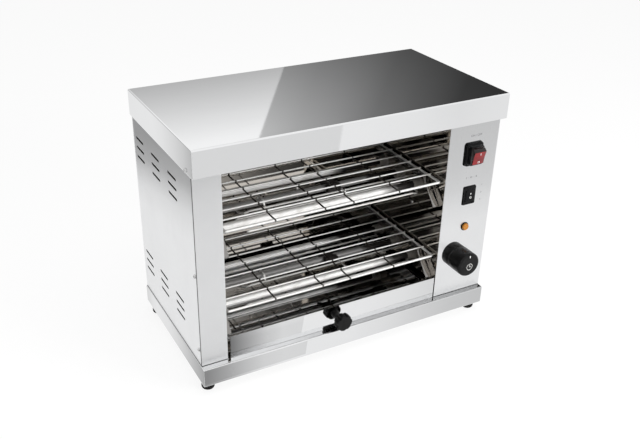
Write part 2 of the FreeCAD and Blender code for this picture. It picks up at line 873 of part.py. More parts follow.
def selector_body():
    bezel = drafted_frame(selector_place, selector_bezel_width, selector_bezel_height,
                          selector_bezel_depth, selector_bezel_corner, selector_draft)
    return switch_body(selector_place, bezel, selector_pivot_depth, selector_rocker_width,
                       selector_rocker_radius, selector_rear_height, selector_rear_depth)


def selector_rocker():
    return rocker(selector_place, selector_pivot_depth, selector_rocker_width, selector_rocker_radius,
                  selector_face, selector_tilt)


# Pilot lamp

FORWARD = Vector(0, -1, 0)


def lamp_body():
    """Rim on the panel and the threaded barrel behind it."""
    profile = [(0, -lamp_body_length), (lamp_body_radius, -lamp_body_length), (lamp_body_radius, 0),
               (lamp_rim_radius, 0), (lamp_rim_radius, lamp_rim / 2), (lamp_lens_radius, lamp_rim),
               (0, lamp_rim)]
    return turned(profile, lamp_place, FORWARD)


def lamp_lens():
    lens = Part.makeCylinder(lamp_lens_radius, lamp_dome, Vector(0, 0, lamp_rim))
    lens = lens.makeFillet(lamp_dome_edge, edges_at(lens, "z", lamp_rim + lamp_dome))
    lens.Placement = FreeCAD.Placement(lamp_place, FreeCAD.Rotation(ALONG_Z, FORWARD))
    return lens


# Timer

def timer_body_solid():
    """Clockwork case behind the panel with the bush that passes through it."""
    half = timer_body / 2
    start = front_y + sheet
    case = block(timer_place.x - half, timer_place.x + half, start, start + timer_body_depth,
                 timer_place.z - half, timer_place.z + half)
    along_y = [edge for edge in case.Edges if abs(edge.tangentAt(edge.FirstParameter).y) > 1 / 2]
    case = case.makeFillet(timer_body_corner, along_y)
    bush = rod(timer_place - ALONG_Y * (knob_gap / 2), timer_place + ALONG_Y * overrun, timer_bush_radius)
    bore = rod(timer_place - ALONG_Y * overrun,
               timer_place + ALONG_Y * (timer_shaft_tail + timer_shaft_clearance),
               timer_shaft_radius + timer_shaft_clearance)
    return case.fuse(bush).cut(bore)


def flat_cutter(radius, flat_depth, start_y, end_y):
    side = timer_place.z + radius - flat_depth
    return block(timer_place.x - radius * 2, timer_place.x + radius * 2, start_y, end_y, side, side + radius)


def timer_shaft():
    """Round shaft with a flat where the knob grips it."""
    start = timer_place - ALONG_Y * timer_shaft_reach
    shaft = rod(start, timer_place + ALONG_Y * timer_shaft_tail, timer_shaft_radius)
    flat_end = front_y - knob_gap - knob_boss_recess
    return shaft.cut(flat_cutter(timer_shaft_radius, timer_flat, start.y - overrun, flat_end))


def timer_knob():
    """Skirted knob, hollow behind, with a boss whose bore matches the shaft's flat."""
    barrel_end = knob_length
    inner_skirt = knob_groove_radius - knob_wall
    web = knob_skirt_length + knob_groove
    profile = [(inner_skirt, 0), (knob_skirt_radius, 0), (knob_skirt_radius, knob_skirt_length),
               (knob_groove_radius, knob_skirt_length), (knob_groove_radius, web),
               (knob_barrel_radius, web), (knob_barrel_radius, barrel_end), (0, barrel_end),
               (0, knob_boss_recess), (knob_boss_radius, knob_boss_recess),
               (knob_boss_radius, barrel_end - knob_edge - knob_wall),
               (inner_skirt, barrel_end - knob_edge - knob_wall)]
    knob = turned(profile, timer_place - ALONG_Y * knob_gap, FORWARD)
    face_y = timer_place.y - knob_gap - barrel_end
    knob = knob.makeFillet(knob_edge, edges_at(knob, "y", face_y))
    grip = timer_shaft_radius + timer_shaft_clearance
    bore_end = timer_place.y - timer_shaft_reach - timer_shaft_clearance
    bore = rod(timer_place, Vector(timer_place.x, bore_end, timer_place.z), grip)
    bore = bore.cut(flat_cutter(grip, timer_flat, bore_end - overrun, front_y + overrun))
    return knob.cut(bore)


# Feet, screws, gland and terminals

def feet():
    rounded = []
    for place in foot_places:
        foot = Part.makeCylinder(foot_radius, foot_height, Vector(place.x, place.y, 0))
        foot = foot.makeFillet(foot_round, edges_at(foot, "z", 0))
        ground = Vector(place.x, place.y, -overrun)
        foot = foot.cut([Part.makeCylinder(foot_recess_radius, foot_recess + overrun, ground),
                         Part.makeCylinder(screw_shank + screw_clearance, foot_height + overrun * 2, ground)])
        rounded.append(foot)
    return rounded


def foot_screws():
    """Screw up each foot, its head on the floor of the foot's recess."""
    screws = []
    for place in foot_places:
        solid = Part.makeCylinder(screw_head_radius, screw_head, Vector(place.x, place.y, foot_recess - screw_head))
        shank = Part.makeCylinder(screw_shank, foot_height - foot_recess + screw_length - sheet,
                                  Vector(place.x, place.y, foot_recess))
        screws.append(solid.fuse(shank))
    return screws


def side_screws(places, lid_place, turn):
    return [screw(place, turn) for place in places] + [screw(lid_place, turn)]


def liner_screws():
    return [screw(place, RIGHT_IN) for place in left_liner_places] + [
        screw(place, LEFT_IN) for place in right_liner_places]


def cable_gland():
    """Gland with a hexagon and a domed nose on the outside and a locknut behind the panel."""
    nose = gland_length - gland_round
    profile = [(gland_bore, -gland_nut - sheet - overrun), (gland_thread_radius, -gland_nut - sheet - overrun),
               (gland_thread_radius, -gland_nut - sheet), (gland_hex_radius, -gland_nut - sheet),
               (gland_hex_radius, -sheet), (gland_thread_radius, -sheet), (gland_thread_radius, 0),
               (gland_hex_radius, 0), (gland_hex_radius, gland_hex), (gland_dome_radius, gland_hex),
               (gland_dome_radius, nose), (gland_dome_radius - gland_round, gland_length),
               (gland_bore, gland_length)]
    return turned(profile, gland_place, ALONG_Y)


def terminal_block():
    """Row of raised poles with a screw well in each."""
    x0 = terminal_x - terminal_depth / 2
    x1 = terminal_x + terminal_depth / 2
    y0 = body_y + terminal_y - terminal_width / 2
    y1 = body_y + terminal_y + terminal_width / 2
    top = base_top + terminal_height
    solid = block(x0, x1, y0, y1, base_top, top)
    pitch = terminal_width / terminal_poles
    for index in range(terminal_poles):
        start = y0 + pitch * index + terminal_pole_gap / 2
        end = start + pitch - terminal_pole_gap
        pole = block(x0 + terminal_pole_gap, x1 - terminal_pole_gap, start, end, top, top + terminal_pole_rise)
        well = Part.makeCylinder(screw_shank, terminal_pole_rise,
                                 Vector(terminal_x, (start + end) / 2, top + terminal_pole_rise / 2))
        solid = solid.fuse(pole.cut(well))
    return solid


# Every physical piece, by name

PIECES = {
    "top_cover": top_cover,
    "base_pan": base_pan,
    "bottom_plate": bottom_plate,
    "left_side_panel": left_side_panel,
    "right_side_panel": right_side_panel,
    "front_left_post": front_left_post,
    "control_panel": control_panel,
    "front_header": front_header,
    "back_panel": back_panel,
    "cavity_left_liner": lambda: cavity_side(opening_left - sheet, left_liner_places, RIGHT_IN),
    "cavity_right_liner": lambda: cavity_side(opening_right, right_liner_places, LEFT_IN),
    "cavity_back_liner": cavity_back_liner,
    "ceiling_reflector": ceiling_reflector,
    "quartz_tubes_top": lambda: quartz_tubes(bank_zs["top"]),
    "quartz_tubes_middle": lambda: quartz_tubes(bank_zs["middle"]),
    "quartz_tubes_bottom": lambda: quartz_tubes(bank_zs["bottom"]),
    "tube_holders_top": lambda: tube_holders(bank_zs["top"]),
    "tube_holders_middle": lambda: tube_holders(bank_zs["middle"]),
    "tube_holders_bottom": lambda: tube_holders(bank_zs["bottom"]),
    "guard_wires_top": lambda: guard_wires("top"),
    "guard_wires_middle": lambda: guard_wires("middle"),
    "guard_wires_bottom": lambda: guard_wires("bottom"),
    "guard_clips": guard_clips,
    "centre_supports": centre_supports,
    "upper_left_rail": lambda: rail(rack_zs["upper"], opening_left, 1),
    "upper_right_rail": lambda: rail(rack_zs["upper"], opening_right, -1),
    "lower_left_rail": lambda: rail(rack_zs["lower"], opening_left, 1),
    "lower_right_rail": lambda: rail(rack_zs["lower"], opening_right, -1),
    "upper_rack": lambda: rack(rack_zs["upper"]),
    "lower_rack": lambda: rack(rack_zs["lower"]),
    "crumb_tray": crumb_tray,
    "tray_guides": tray_guides,
    "tray_knob": tray_knob,
    "tray_knob_stud": tray_knob_stud,
    "main_switch_body": main_switch_body,
    "main_switch_rocker": main_switch_rocker,
    "selector_body": selector_body,
    "selector_rocker": selector_rocker,
    "pilot_lamp_body": lamp_body,
    "pilot_lamp_lens": lamp_lens,
    "timer_body": timer_body_solid,
    "timer_shaft": timer_shaft,
    "timer_knob": timer_knob,
    "feet": feet,
    "foot_screws": foot_screws,
    "left_screws": lambda: side_screws(left_screw_places, lid_left_place, LEFT_IN),
    "right_screws": lambda: side_screws(right_screw_places, lid_right_place, RIGHT_IN),
    "back_screws": lambda: [screw(place, BACK_IN) for place in back_screw_places],
    "liner_screws": liner_screws,
    "cable_gland": cable_gland,
    "terminal_block": terminal_block,
}


def main():
    os.makedirs("parts", exist_ok=True)
    for name, make in PIECES.items():
        made = make()
        shape = Part.makeCompound(made) if isinstance(made, list) else made
        print(name, "solids", len(shape.Solids), "valid", shape.isValid(), "volume", round(shape.Volume))
        shape.exportStep(os.path.join("parts", name + ".step"))


main()
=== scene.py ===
"""Dresses the cheese melter: its finishes, its small parts, the studio and the camera."""

import logging
import math
from dataclasses import dataclass, field
from enum import Enum
from functools import partial
from itertools import product
from typing import Callable, Sequence

import bmesh
import bpy
from mathutils import Euler, Matrix, Vector


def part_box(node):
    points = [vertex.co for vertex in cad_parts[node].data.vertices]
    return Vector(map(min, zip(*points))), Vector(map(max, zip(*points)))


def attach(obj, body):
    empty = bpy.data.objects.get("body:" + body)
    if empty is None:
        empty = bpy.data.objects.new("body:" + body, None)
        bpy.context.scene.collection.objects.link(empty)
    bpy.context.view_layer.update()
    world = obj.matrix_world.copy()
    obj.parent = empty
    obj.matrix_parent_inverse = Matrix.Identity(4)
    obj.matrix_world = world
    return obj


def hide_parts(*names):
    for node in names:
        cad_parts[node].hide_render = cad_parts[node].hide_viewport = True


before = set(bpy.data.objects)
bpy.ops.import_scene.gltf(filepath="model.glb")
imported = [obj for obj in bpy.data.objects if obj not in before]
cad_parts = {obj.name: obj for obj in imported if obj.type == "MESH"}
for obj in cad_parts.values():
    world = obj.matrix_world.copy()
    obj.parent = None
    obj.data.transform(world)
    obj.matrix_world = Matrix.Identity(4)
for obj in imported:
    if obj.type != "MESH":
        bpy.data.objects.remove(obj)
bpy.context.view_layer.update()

LOG = logging.getLogger("cheese_melter")
Piece = bpy.types.Object
Colour = Point = tuple[float, float, float]
Test = Callable[[Vector, Vector], bool]


def mm(x: float, y: float, z: float) -> Vector:
    """Turns a place in millimetres into metres."""
    return Vector((x, y, z)) / 1000


def corners(node: str) -> tuple[Vector, Vector]:
    """Gives the lowest and the highest corner of a CAD node."""
    low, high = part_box(node)
    return Vector(low), Vector(high)


WHITE: Colour = (1.0, 1.0, 1.0)
WHITE_INK: Colour = (0.78, 0.78, 0.76)
# Painted dark reflection for the racks' depth wires and the guards' left bends.
PAINTED_DARK_REFLECTION: Colour = (0.045, 0.038, 0.032)
ROCKER_PIVOT = mm(214.5, -124.95, 312.5)
ROCKER_LEAN = math.radians(12)
ONE_BOUNCE = 1.5  # lies between the ray depths after one bounce and after two


class Pick(Enum):
    """What is chosen in edit mode."""

    EDGES = "edges"
    FACES = "faces"


class Grain(Enum):
    """Direction of the drawn lines in a sheet: the axis along which they run."""

    ALONG_X = (0.012, 1.0, 1.0)
    ALONG_Y = (1.0, 0.012, 1.0)
    ALONG_Z = (1.0, 1.0, 0.012)
    NONE = (1.0, 1.0, 1.0)


class Facing(Enum):
    """The way that a screw head or a veil looks, as the turn that brings it there from +Z."""

    FRONT = (math.pi / 2, 0, 0)
    BACK = (-math.pi / 2, 0, 0)
    LEFT = (0, -math.pi / 2, 0)
    RIGHT = (0, math.pi / 2, 0)
    UP = (0, 0, 0)

    def turn(self) -> Matrix:
        """Gives the turn as a matrix."""
        return Euler(self.value).to_matrix().to_4x4()

    def out(self) -> Vector:
        """Gives the way itself as a vector of length 1."""
        return Vector(round(value) for value in self.turn().to_3x3() @ Vector((0, 0, 1)))


class Bench:
    """The workbench: primitives are added here and shaped with edit mode's own tools."""

    @staticmethod
    def clear() -> None:
        """Leaves edit mode and deselects everything."""
        if bpy.context.mode != "OBJECT":
            bpy.ops.object.mode_set(mode="OBJECT")
        bpy.ops.object.select_all(action="DESELECT")

    @staticmethod
    def take(*pieces: Piece) -> None:
        """Selects these pieces alone and makes the first one active.

        Args:
            pieces: The pieces to work on.
        """
        Bench.clear()
        for piece in pieces:
            piece.select_set(True)
        bpy.context.view_layer.objects.active = pieces[0]

    @staticmethod
    def name(name: str) -> Piece:
        """Names the active object, places its mesh where it stands and returns it.

        Args:
            name: The piece's name.

        Returns:
            The named object, at the origin with its place in its mesh.
        """
        piece = bpy.context.object
        piece.name = name
        piece.data.name = name
        bpy.ops.object.transform_apply(location=True, rotation=True, scale=True)
        return piece

    @staticmethod
    def rod(name: str, start: Vector, end: Vector, radius: float, sides: int = 32) -> Piece:
        """Adds a closed rod between two places.

        Args:
            name: The piece's name.
            start: Middle of one end.
            end: Middle of the other end.
            radius: Radius of the rod.
            sides: Number of sides.

        Returns:
            The rod.
        """
        Bench.clear()
        run = end - start
        bpy.ops.mesh.primitive_cylinder_add(vertices=sides, radius=radius, depth=run.length,
                                            location=(start + end) / 2,
                                            rotation=run.to_track_quat("Z", "Y").to_euler())
        return Bench.name(name)

    @staticmethod
    def block(name: str, low: Vector, high: Vector) -> Piece:
        """Adds a box between two corners.

        Args:
            name: The piece's name.
            low: Lowest corner.
            high: Highest corner.

        Returns:
            The box.
        """
        Bench.clear()
        bpy.ops.mesh.primitive_cube_add(size=1, location=(low + high) / 2, scale=high - low)
        return Bench.name(name)

    @staticmethod
    def choose(piece: Piece, what: Pick = Pick.FACES, test: Test = lambda middle, way: True) -> None:
        """Opens a piece in edit mode with only the edges or faces chosen that pass a test.

        Args:
            piece: The piece to open.
            what: Whether edges or faces are chosen.
            test: Takes the middle and the normal of a face, or the middle and the run of an edge.
        """
        Bench.take(piece)
        bpy.ops.object.mode_set(mode="EDIT")
        bpy.context.tool_settings.mesh_select_mode = (False, what is Pick.EDGES, what is Pick.FACES)
        bpy.ops.mesh.select_all(action="DESELECT")
        work = bmesh.from_edit_mesh(piece.data)
        if what is Pick.FACES:
            rows = [(face, face.calc_center_median(), face.normal) for face in work.faces]
        else:
            ends = [(edge, *(vertex.co for vertex in edge.verts)) for edge in work.edges]
            rows = [(edge, (first + second) / 2, (second - first).normalized()) for edge, first, second in ends]
        for item, middle, way in rows:
            if test(middle, way):
                item.select_set(True)
        bmesh.update_edit_mesh(piece.data)

    @staticmethod
    def modify(piece: Piece, kind: str, **settings: object) -> None:
        """Adds a modifier with these settings and applies it.

        Args:
            piece: The piece to finish.
            kind: Blender's name of the modifier.
            settings: Values of the modifier.
        """
        Bench.take(piece)
        modifier = piece.modifiers.new(kind.lower(), kind)
        for key, value in settings.items():
            setattr(modifier, key, value)
        bpy.ops.object.modifier_apply(modifier=modifier.name)

    @staticmethod
    def link(name: str, data: bpy.types.ID) -> Piece:
        """Adds an object to the scene.

        Args:
            name: The object's name.
            data: Its mesh, camera or light.

        Returns:
            The object.
        """
        made = bpy.data.objects.new(name, data)
        bpy.context.scene.collection.objects.link(made)
        return made

    @staticmethod
    def copy(piece: Piece, name: str, place: Matrix) -> Piece:
        """Copies a piece with a mesh of its own.

        Args:
            piece: The piece to copy.
            name: Name of the copy.
            place: Where the copy goes, from the first piece's own place.

        Returns:
            The copy.
        """
        mesh = piece.data.copy()
        mesh.transform(place)
        return Bench.link(name, mesh)

    @staticmethod
    def merged(node: str, name: str) -> Piece:
        """Copies a CAD node as one mesh and leaves it open in edit mode with all its faces chosen.

        Args:
            node: Name of the CAD node.
            name: Name of the copy.

        Returns:
            The copy.
        """
        piece = Bench.copy(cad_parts[node], name, Matrix.Identity(4))
        Bench.choose(piece)
        bpy.ops.mesh.remove_doubles(threshold=0.00001)
        return piece

    @staticmethod
    def join(name: str, pieces: Sequence[Piece]) -> Piece:
        """Joins pieces into one named object.

        Args:
            name: Name of the joined piece.
            pieces: The pieces to join.

        Returns:
            The joined piece.
        """
        Bench.take(*pieces)
        if len(pieces) > 1:
            bpy.ops.object.join()
        return Bench.name(name)

    @staticmethod
    def drop(piece: Piece) -> None:
        """Takes a pattern piece off the bench."""
        bpy.data.objects.remove(piece, do_unlink=True)

    @staticmethod
    def rounded(node: str, name: str, width: float, body: str, finish: "Finish", slot: str, angle: float = 32,
                smooth: float = 50, mirrored: bool = True) -> None:
        """Puts a clean copy with rounded edges in the place of a CAD node.

        Args:
            node: Name of the CAD node.
            name: Name of the copy.
            width: Width of the rounding.
            body: The CAD body that it moves with.
            finish: Its finish.
            slot: The record's material slot.
            angle: Edges sharper than this, in degrees, are rounded.
            smooth: Angle in degrees below which edges are shaded smooth.
            mirrored: Whether reflections show it.
        """
        piece = Bench.merged(node, name)
        bpy.ops.mesh.dissolve_limited(angle_limit=math.radians(0.8))
        Bench.take(piece)
        bpy.ops.mesh.customdata_custom_splitnormals_clear()
        Bench.modify(piece, "BEVEL", width=width, segments=3, limit_method="ANGLE",
                     angle_limit=math.radians(angle), harden_normals=False)
        piece.visible_glossy = mirrored
        Bench.settle(piece, body, finish, slot, (node,), smooth)

    @staticmethod
    def settle(piece: Piece, body: str, finish: "Finish", slot: str, replaces: Sequence[str] = (),
               smooth: float = 35) -> None:
        """Gives a finished piece its material and its body.

        Args:
            piece: The finished piece.
            body: The CAD body that it moves with.
            finish: Its finish.
            slot: Not used.
            replaces: CAD nodes that it stands for.
            smooth: Angle in degrees below which edges are shaded smooth.
        """
        Bench.take(piece)
        bpy.ops.object.shade_smooth_by_angle(angle=math.radians(smooth))
        piece.data.materials.clear()
        piece.data.materials.append(finish.material())
        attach(piece, body)
        if replaces:
            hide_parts(*replaces)
        Bench.clear()
        LOG.info("%s rides on %s, %d faces", piece.name, body, len(piece.data.polygons))


def dress(finish: "Finish", *nodes: str) -> None:
    """Gives CAD nodes a finish.

    Args:
        finish: The finish.
        nodes: Names of the CAD nodes.
    """
    material = finish.material()
    for name in nodes:
        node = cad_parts[name]
        if not node.material_slots:
            node.data.materials.append(material)
        for slot in node.material_slots:
            slot.material = material
        LOG.info("%s is finished in %s", name, material.name)


@dataclass(frozen=True, eq=False)
class Value:
    """An output in a recipe. Its arithmetic adds Math nodes, with masks that are 0 or 1."""

    recipe: "Recipe"
    socket: bpy.types.NodeSocket

    def math(self, kind: str, *others: object) -> "Value":
        """Adds a Math node.

        Args:
            kind: The operation.
            others: Its further values, if it takes any.

        Returns:
            The result.
        """
        node = self.recipe.tree.nodes.new("ShaderNodeMath")
        node.operation = kind
        for index, value in enumerate((self, *others)):
            self.recipe.feed(node, index, value)
        return Value(self.recipe, node.outputs[0])

    def __add__(self, other: object) -> "Value":
        """Adds a value."""
        return self.math("ADD", other)

    def __sub__(self, other: object) -> "Value":
        """Takes a value away."""
        return self.math("SUBTRACT", other)

    def __mul__(self, other: object) -> "Value":
        """Multiplies by a value; of two masks, keeps what both hold."""
        return self.math("MULTIPLY", other)

    def __or__(self, other: object) -> "Value":
        """Takes the greater of two values; of two masks, keeps what either holds."""
        return self.math("MAXIMUM", other)

    def __lt__(self, other: object) -> "Value":
        """Masks what is less than a value."""
        return self.math("LESS_THAN", other)

    def __gt__(self, other: object) -> "Value":
        """Masks what is more than a value."""
        return self.math("GREATER_THAN", other)

    def near(self, centre: float, reach: float) -> "Value":
        """Masks what lies closer to a centre than a reach."""
        return (self - centre).math("ABSOLUTE") < reach

    def within(self, low: float, high: float) -> "Value":
        """Masks what lies between two values."""
        return self.near((low + high) / 2, (high - low) / 2)

    def radius(self, other: "Value") -> "Value":
        """Gives the distance from the middle, as the second of two distances along the axes."""
        return (self * self + other * other).math("SQRT")

    def spread(self, low: float, high: float, first: float = 0.0, last: float = 1.0) -> "Value":
        """Maps the range low to high to the range first to last, and stays in that."""
        return self.recipe.take("MapRange", "Result", Value=self, From_Min=low, From_Max=high, To_Min=first,
                                To_Max=last)

    def ramp(self, *stops: tuple[float, float]) -> "Value":
        """Follows a line of stops.

        Args:
            stops: Place and result of each stop, in rising order.

        Returns:
            The result.
        """
        first, last = stops[0][0], stops[-1][0]
        node = self.recipe.add("ValToRGB", Fac=self.spread(first, last))
        elements = node.color_ramp.elements
        while len(elements) < len(stops):
            elements.new(0.5)
        for element, (place, result) in zip(elements, stops):
            element.position = (place - first) / (last - first)
            element.color = (result, result, result, 1.0)
        return Value(self.recipe, node.outputs["Color"])

    def blend(self, first: object, second: object) -> "Value":
        """Mixes two colours, with this value as the second one's share.

        Args:
            first: First colour.
            second: Second colour.

        Returns:
            The mixed colour.
        """
        node = self.recipe.tree.nodes.new("ShaderNodeMix")
        node.data_type = "RGBA"
        for index, value in ((0, self), (6, first), (7, second)):
            self.recipe.feed(node, index, value)
        return Value(self.recipe, node.outputs[2])

    def layer(self, first: "Value", second: "Value") -> "Value":
        """Mixes two shaders, with this value as the second one's share.

        Args:
            first: First shader.
            second: Second shader.

        Returns:
            The mixed shader.
        """
        node = self.recipe.add("MixShader", Fac=self)
        self.recipe.feed(node, 1, first)
        self.recipe.feed(node, 2, second)
        return Value(self.recipe, node.outputs[0])


class Recipe:
    """One node tree while it is put together."""

    def __init__(self, tree: bpy.types.NodeTree) -> None:
        """Starts on an empty tree."""
        self.tree = tree
        tree.nodes.clear()

    @classmethod
    def of(cls, owner: bpy.types.Material | bpy.types.World) -> "Recipe":
        """Starts on the nodes of a material or a world."""
        owner.use_nodes = True
        return cls(owner.node_tree)

    def add(self, kind: str, **inputs: object) -> bpy.types.Node:
        """Adds a node.

        Args:
            kind: Blender's type of the node, without its prefix.
            inputs: What its inputs take, by name with _ for a space.

        Returns:
            The node.
        """
        node = self.tree.nodes.new("ShaderNode" + kind)
        self.fill(node, **inputs)
        return node

    def take(self, kind: str, output: str | int = 0, **inputs: object) -> Value:
        """Adds a node and gives one of its outputs, by name or number."""
        return Value(self, self.add(kind, **inputs).outputs[output])

    def fill(self, node: bpy.types.Node, **inputs: object) -> None:
        """Feeds a node's inputs by name, with _ for a space."""
        for key, value in inputs.items():
            self.feed(node, key.replace("_", " "), value)

    def feed(self, node: bpy.types.Node, key: str | int, value: object) -> None:
        """Links a value to an input, or sets the input to a number, a vector or a colour.

        Args:
            node: The node that takes it.
            key: Name or number of the input.
            value: What the input takes.
        """
        socket = node.inputs[key]
        if isinstance(value, Value):
            self.tree.links.new(value.socket, socket)
        elif socket.type == "RGBA":
            socket.default_value = (*value, 1.0)
        else:
            socket.default_value = value

    def relief(self, strength: float, height: Value, distance: float = 0.0002) -> Value:
        """Turns heights into a bumped normal."""
        return self.take("Bump", Strength=strength, Distance=distance, Height=height)

    def noise(self, vector: Value, scale: float | Value, detail: float = 3.0, roughness: float = 0.5) -> Value:
        """Adds a noise pattern with values of about 0 to 1."""
        return self.take("TexNoise", "Fac", Vector=vector, Scale=scale, Detail=detail, Roughness=roughness)

    def place(self) -> Value:
        """Gives the object coordinates."""
        return self.take("TexCoord", "Object")

    def split(self) -> tuple[Value, ...]:
        """Gives the object coordinates as x, y and z."""
        return tuple(Value(self, socket) for socket in self.add("SeparateXYZ", Vector=self.place()).outputs)

    def path(self, output: str) -> Value:
        """Gives an output of the light path."""
        return self.take("LightPath", output)


class SharedPattern:
    """A shader node group that several finishes use."""

    name = ""
    inputs: dict[str, str] = {}
    outputs: tuple[str, ...] = ()

    @classmethod
    def group(cls) -> bpy.types.NodeTree:
        """Builds the group once and returns it.

        Returns:
            The node group.
        """
        found = bpy.data.node_groups.get(cls.name)
        if found:
            return found
        tree = bpy.data.node_groups.new(cls.name, "ShaderNodeTree")
        for key, kind in cls.inputs.items():
            tree.interface.new_socket(name=key, in_out="INPUT", socket_type=kind)
        for key in cls.outputs:
            tree.interface.new_socket(name=key, in_out="OUTPUT", socket_type="NodeSocketFloat")
        recipe = Recipe(tree)
        start = tree.nodes.new("NodeGroupInput")
        end = tree.nodes.new("NodeGroupOutput")
        given = (Value(recipe, start.outputs[key]) for key in cls.inputs)
        for key, value in zip(cls.outputs, cls.mix(recipe, *given)):
            recipe.feed(end, key, value)
        return tree

    @classmethod
    def mix(cls, recipe: Recipe, *given: Value) -> tuple[Value, Value]:
        """Makes the group's outputs from its inputs."""
        raise NotImplementedError

    @classmethod
    def use(cls, recipe: Recipe, **values: object) -> tuple[Value, ...]:
        """Places the group in a material with its own values.

        Args:
            recipe: The material's recipe.
            values: Values of the group's inputs.

        Returns:
            The group's outputs, in their order.
        """
        node = recipe.tree.nodes.new("ShaderNodeGroup")
        node.node_tree = cls.group()
        recipe.fill(node, **values)
        return tuple(Value(recipe, socket) for socket in node.outputs)


class DrawnLines(SharedPattern):
    """Fine rolling lines of sheet steel, and the faint waves of a folded sheet."""

    name = "drawn_lines"
    inputs = {"Stretch": "NodeSocketVector", "Fineness": "NodeSocketFloat"}
    outputs = ("Lines", "Waves")

    @classmethod
    def mix(cls, recipe: Recipe, stretch: Value, fineness: Value) -> tuple[Value, Value]:
        """Makes the lines from stretched noise and the waves from broad noise."""
        drawn = recipe.take("Mapping", Vector=recipe.place(), Scale=stretch)
        return recipe.noise(drawn, fineness, 4.0), recipe.noise(recipe.place(), 5.0, 1.0)


class Handling(SharedPattern):
    """Wiping marks, finger grease and dust that settles on a face."""

    name = "handling"
    inputs = {"Amount": "NodeSocketFloat"}
    outputs = ("Smears", "Specks")

    @classmethod
    def mix(cls, recipe: Recipe, amount: Value) -> tuple[Value, Value]:
        """Makes smears from warped noise and specks from fine noise.

        Args:
            recipe: The group's recipe.
            amount: How strong both are.

        Returns:
            The smears and the specks.
        """
        wide = recipe.take("Mapping", Vector=recipe.place(), Rotation=(0.4, 0.2, 0.9), Scale=(1.0, 2.6, 1.4))
        smears = recipe.noise(wide, 9.0, 5.0, 0.62).spread(0.46, 0.74)
        specks = recipe.noise(recipe.place(), 900.0, 2.0).spread(0.66, 0.80)
        return smears * amount, specks * amount


class FineSpark(SharedPattern):
    """Fine even texture of moulded plastic, rubber or fired ceramic."""

    name = "fine_spark"
    inputs = {"Size": "NodeSocketFloat"}
    outputs = ("Pits", "Clouds")

    @classmethod
    def mix(cls, recipe: Recipe, size: Value) -> tuple[Value, Value]:
        """Makes pits from fine noise and clouds from broad noise."""
        return recipe.noise(recipe.place(), size), recipe.noise(recipe.place(), 60.0)


@dataclass(frozen=True)
class Finish:
    """A surface finish. Each kind adds its own nodes."""

    name: str

    def material(self) -> bpy.types.Material:
        """Builds the material once and returns it.

        Returns:
            The material.
        """
        name = f"finish_{self.name}"
        found = bpy.data.materials.get(name)
        if found:
            return found
        made = bpy.data.materials.new(name)
        recipe = Recipe.of(made)
        shader = recipe.add("BsdfPrincipled")
        recipe.add("OutputMaterial", Surface=Value(recipe, shader.outputs[0]))
        recipe.fill(shader, **self.mix(recipe))
        return made

    def mix(self, recipe: Recipe) -> dict[str, object]:
        """Gives what the shader's inputs take."""
        raise NotImplementedError


@dataclass(frozen=True)
class SheetSteel(Finish):
    """Stainless sheet with drawn lines, faint waves and wiping marks."""

    smooth: float
    rough: float
    grain: Grain = Grain.ALONG_X
    lines: float = 0.012
    waves: float = 0.004
    handled: float = 1.0
    light: Colour = (0.86, 0.865, 0.87)
    dark: Colour = (0.82, 0.825, 0.835)
    line_share: float = 0.5
    smear_share: float = 0.35
    smear_gloss: float = 0.6
    speck_gloss: float = 0.05
    wave_gain: float = 60.0

    def mix(self, recipe: Recipe) -> dict[str, object]:
        """Lets lines and smears change colour, roughness and relief.

        Args:
            recipe: The material's recipe.

        Returns:
            What the shader's inputs take.
        """
        lines, waves = DrawnLines.use(recipe, Stretch=self.grain.value, Fineness=2600.0)
        smears, specks = Handling.use(recipe, Amount=self.handled)
        tone = lines * self.line_share + smears * self.smear_share
        gloss = lines.spread(0.3, 0.7, self.smooth, self.rough)
        marks = smears * ((self.rough - self.smooth) * self.smear_gloss) + specks * self.speck_gloss
        height = waves * (self.wave_gain * self.waves) + lines * self.lines
        return {"Base_Color": tone.blend(self.light, self.dark), "Metallic": 1.0, "Roughness": gloss + marks,
                "Normal": recipe.relief(0.35, height, 0.001)}


@dataclass(frozen=True)
class PlatedWire(Finish):
    """Bright plated wire with a faint orange peel and a little heat haze."""

    bright: Colour
    dull: Colour
    smooth: float
    rough: float
    mirror: float = 1.0

    def paint_dark_reflection(self, recipe: Recipe, colour: Value) -> Value:
        """Gives the plating's colour as it is; the finishes of racks and guards paint a dark reflection on a part of
        it.
        """
        return colour

    def mix(self, recipe: Recipe) -> dict[str, object]:
        """Lets the haze change colour and roughness.

        Args:
            recipe: The material's recipe.

        Returns:
            What the shader's inputs take.
        """
        pits, clouds = FineSpark.use(recipe, Size=700.0)
        haze = clouds.spread(0.42, 0.68)
        return {"Base_Color": self.paint_dark_reflection(recipe, haze.blend(self.bright, self.dull)), "Metallic": self.mirror,
                "Roughness": haze.spread(0.0, 1.0, self.smooth, self.rough), "Normal": recipe.relief(0.12, pits)}


@dataclass(frozen=True)
class RackPlating(PlatedWire):
    """Plated wire whose depth wires are darkened with a painted dark reflection; they stand in pairs round the rack's
    centre.
    """

    centre: float = -0.02715
    stays: tuple[float, float] = (0.025, 0.109)
    half: float = 0.00145

    def paint_dark_reflection(self, recipe: Recipe, colour: Value) -> Value:
        """Darkens the wires that run from front to back with a painted dark reflection.

        Args:
            recipe: The material's recipe.
            colour: The plating's colour.

        Returns:
            The colour with the painted dark reflection.
        """
        across = (recipe.split()[0] - self.centre).math("ABSOLUTE")
        for stay in self.stays:
            colour = across.near(stay, self.half).blend(colour, PAINTED_DARK_REFLECTION)
        return colour


@dataclass(frozen=True)
class GuardPlating(PlatedWire):
    """Plated wire whose bends at the left end are darkened with a painted dark reflection."""

    bend: tuple[float, float] = (-0.166, -0.160)

    def paint_dark_reflection(self, recipe: Recipe, colour: Value) -> Value:
        """Darkens the wire towards the bends with a painted dark reflection."""
        return recipe.split()[0].spread(*self.bend).blend(PAINTED_DARK_REFLECTION, colour)


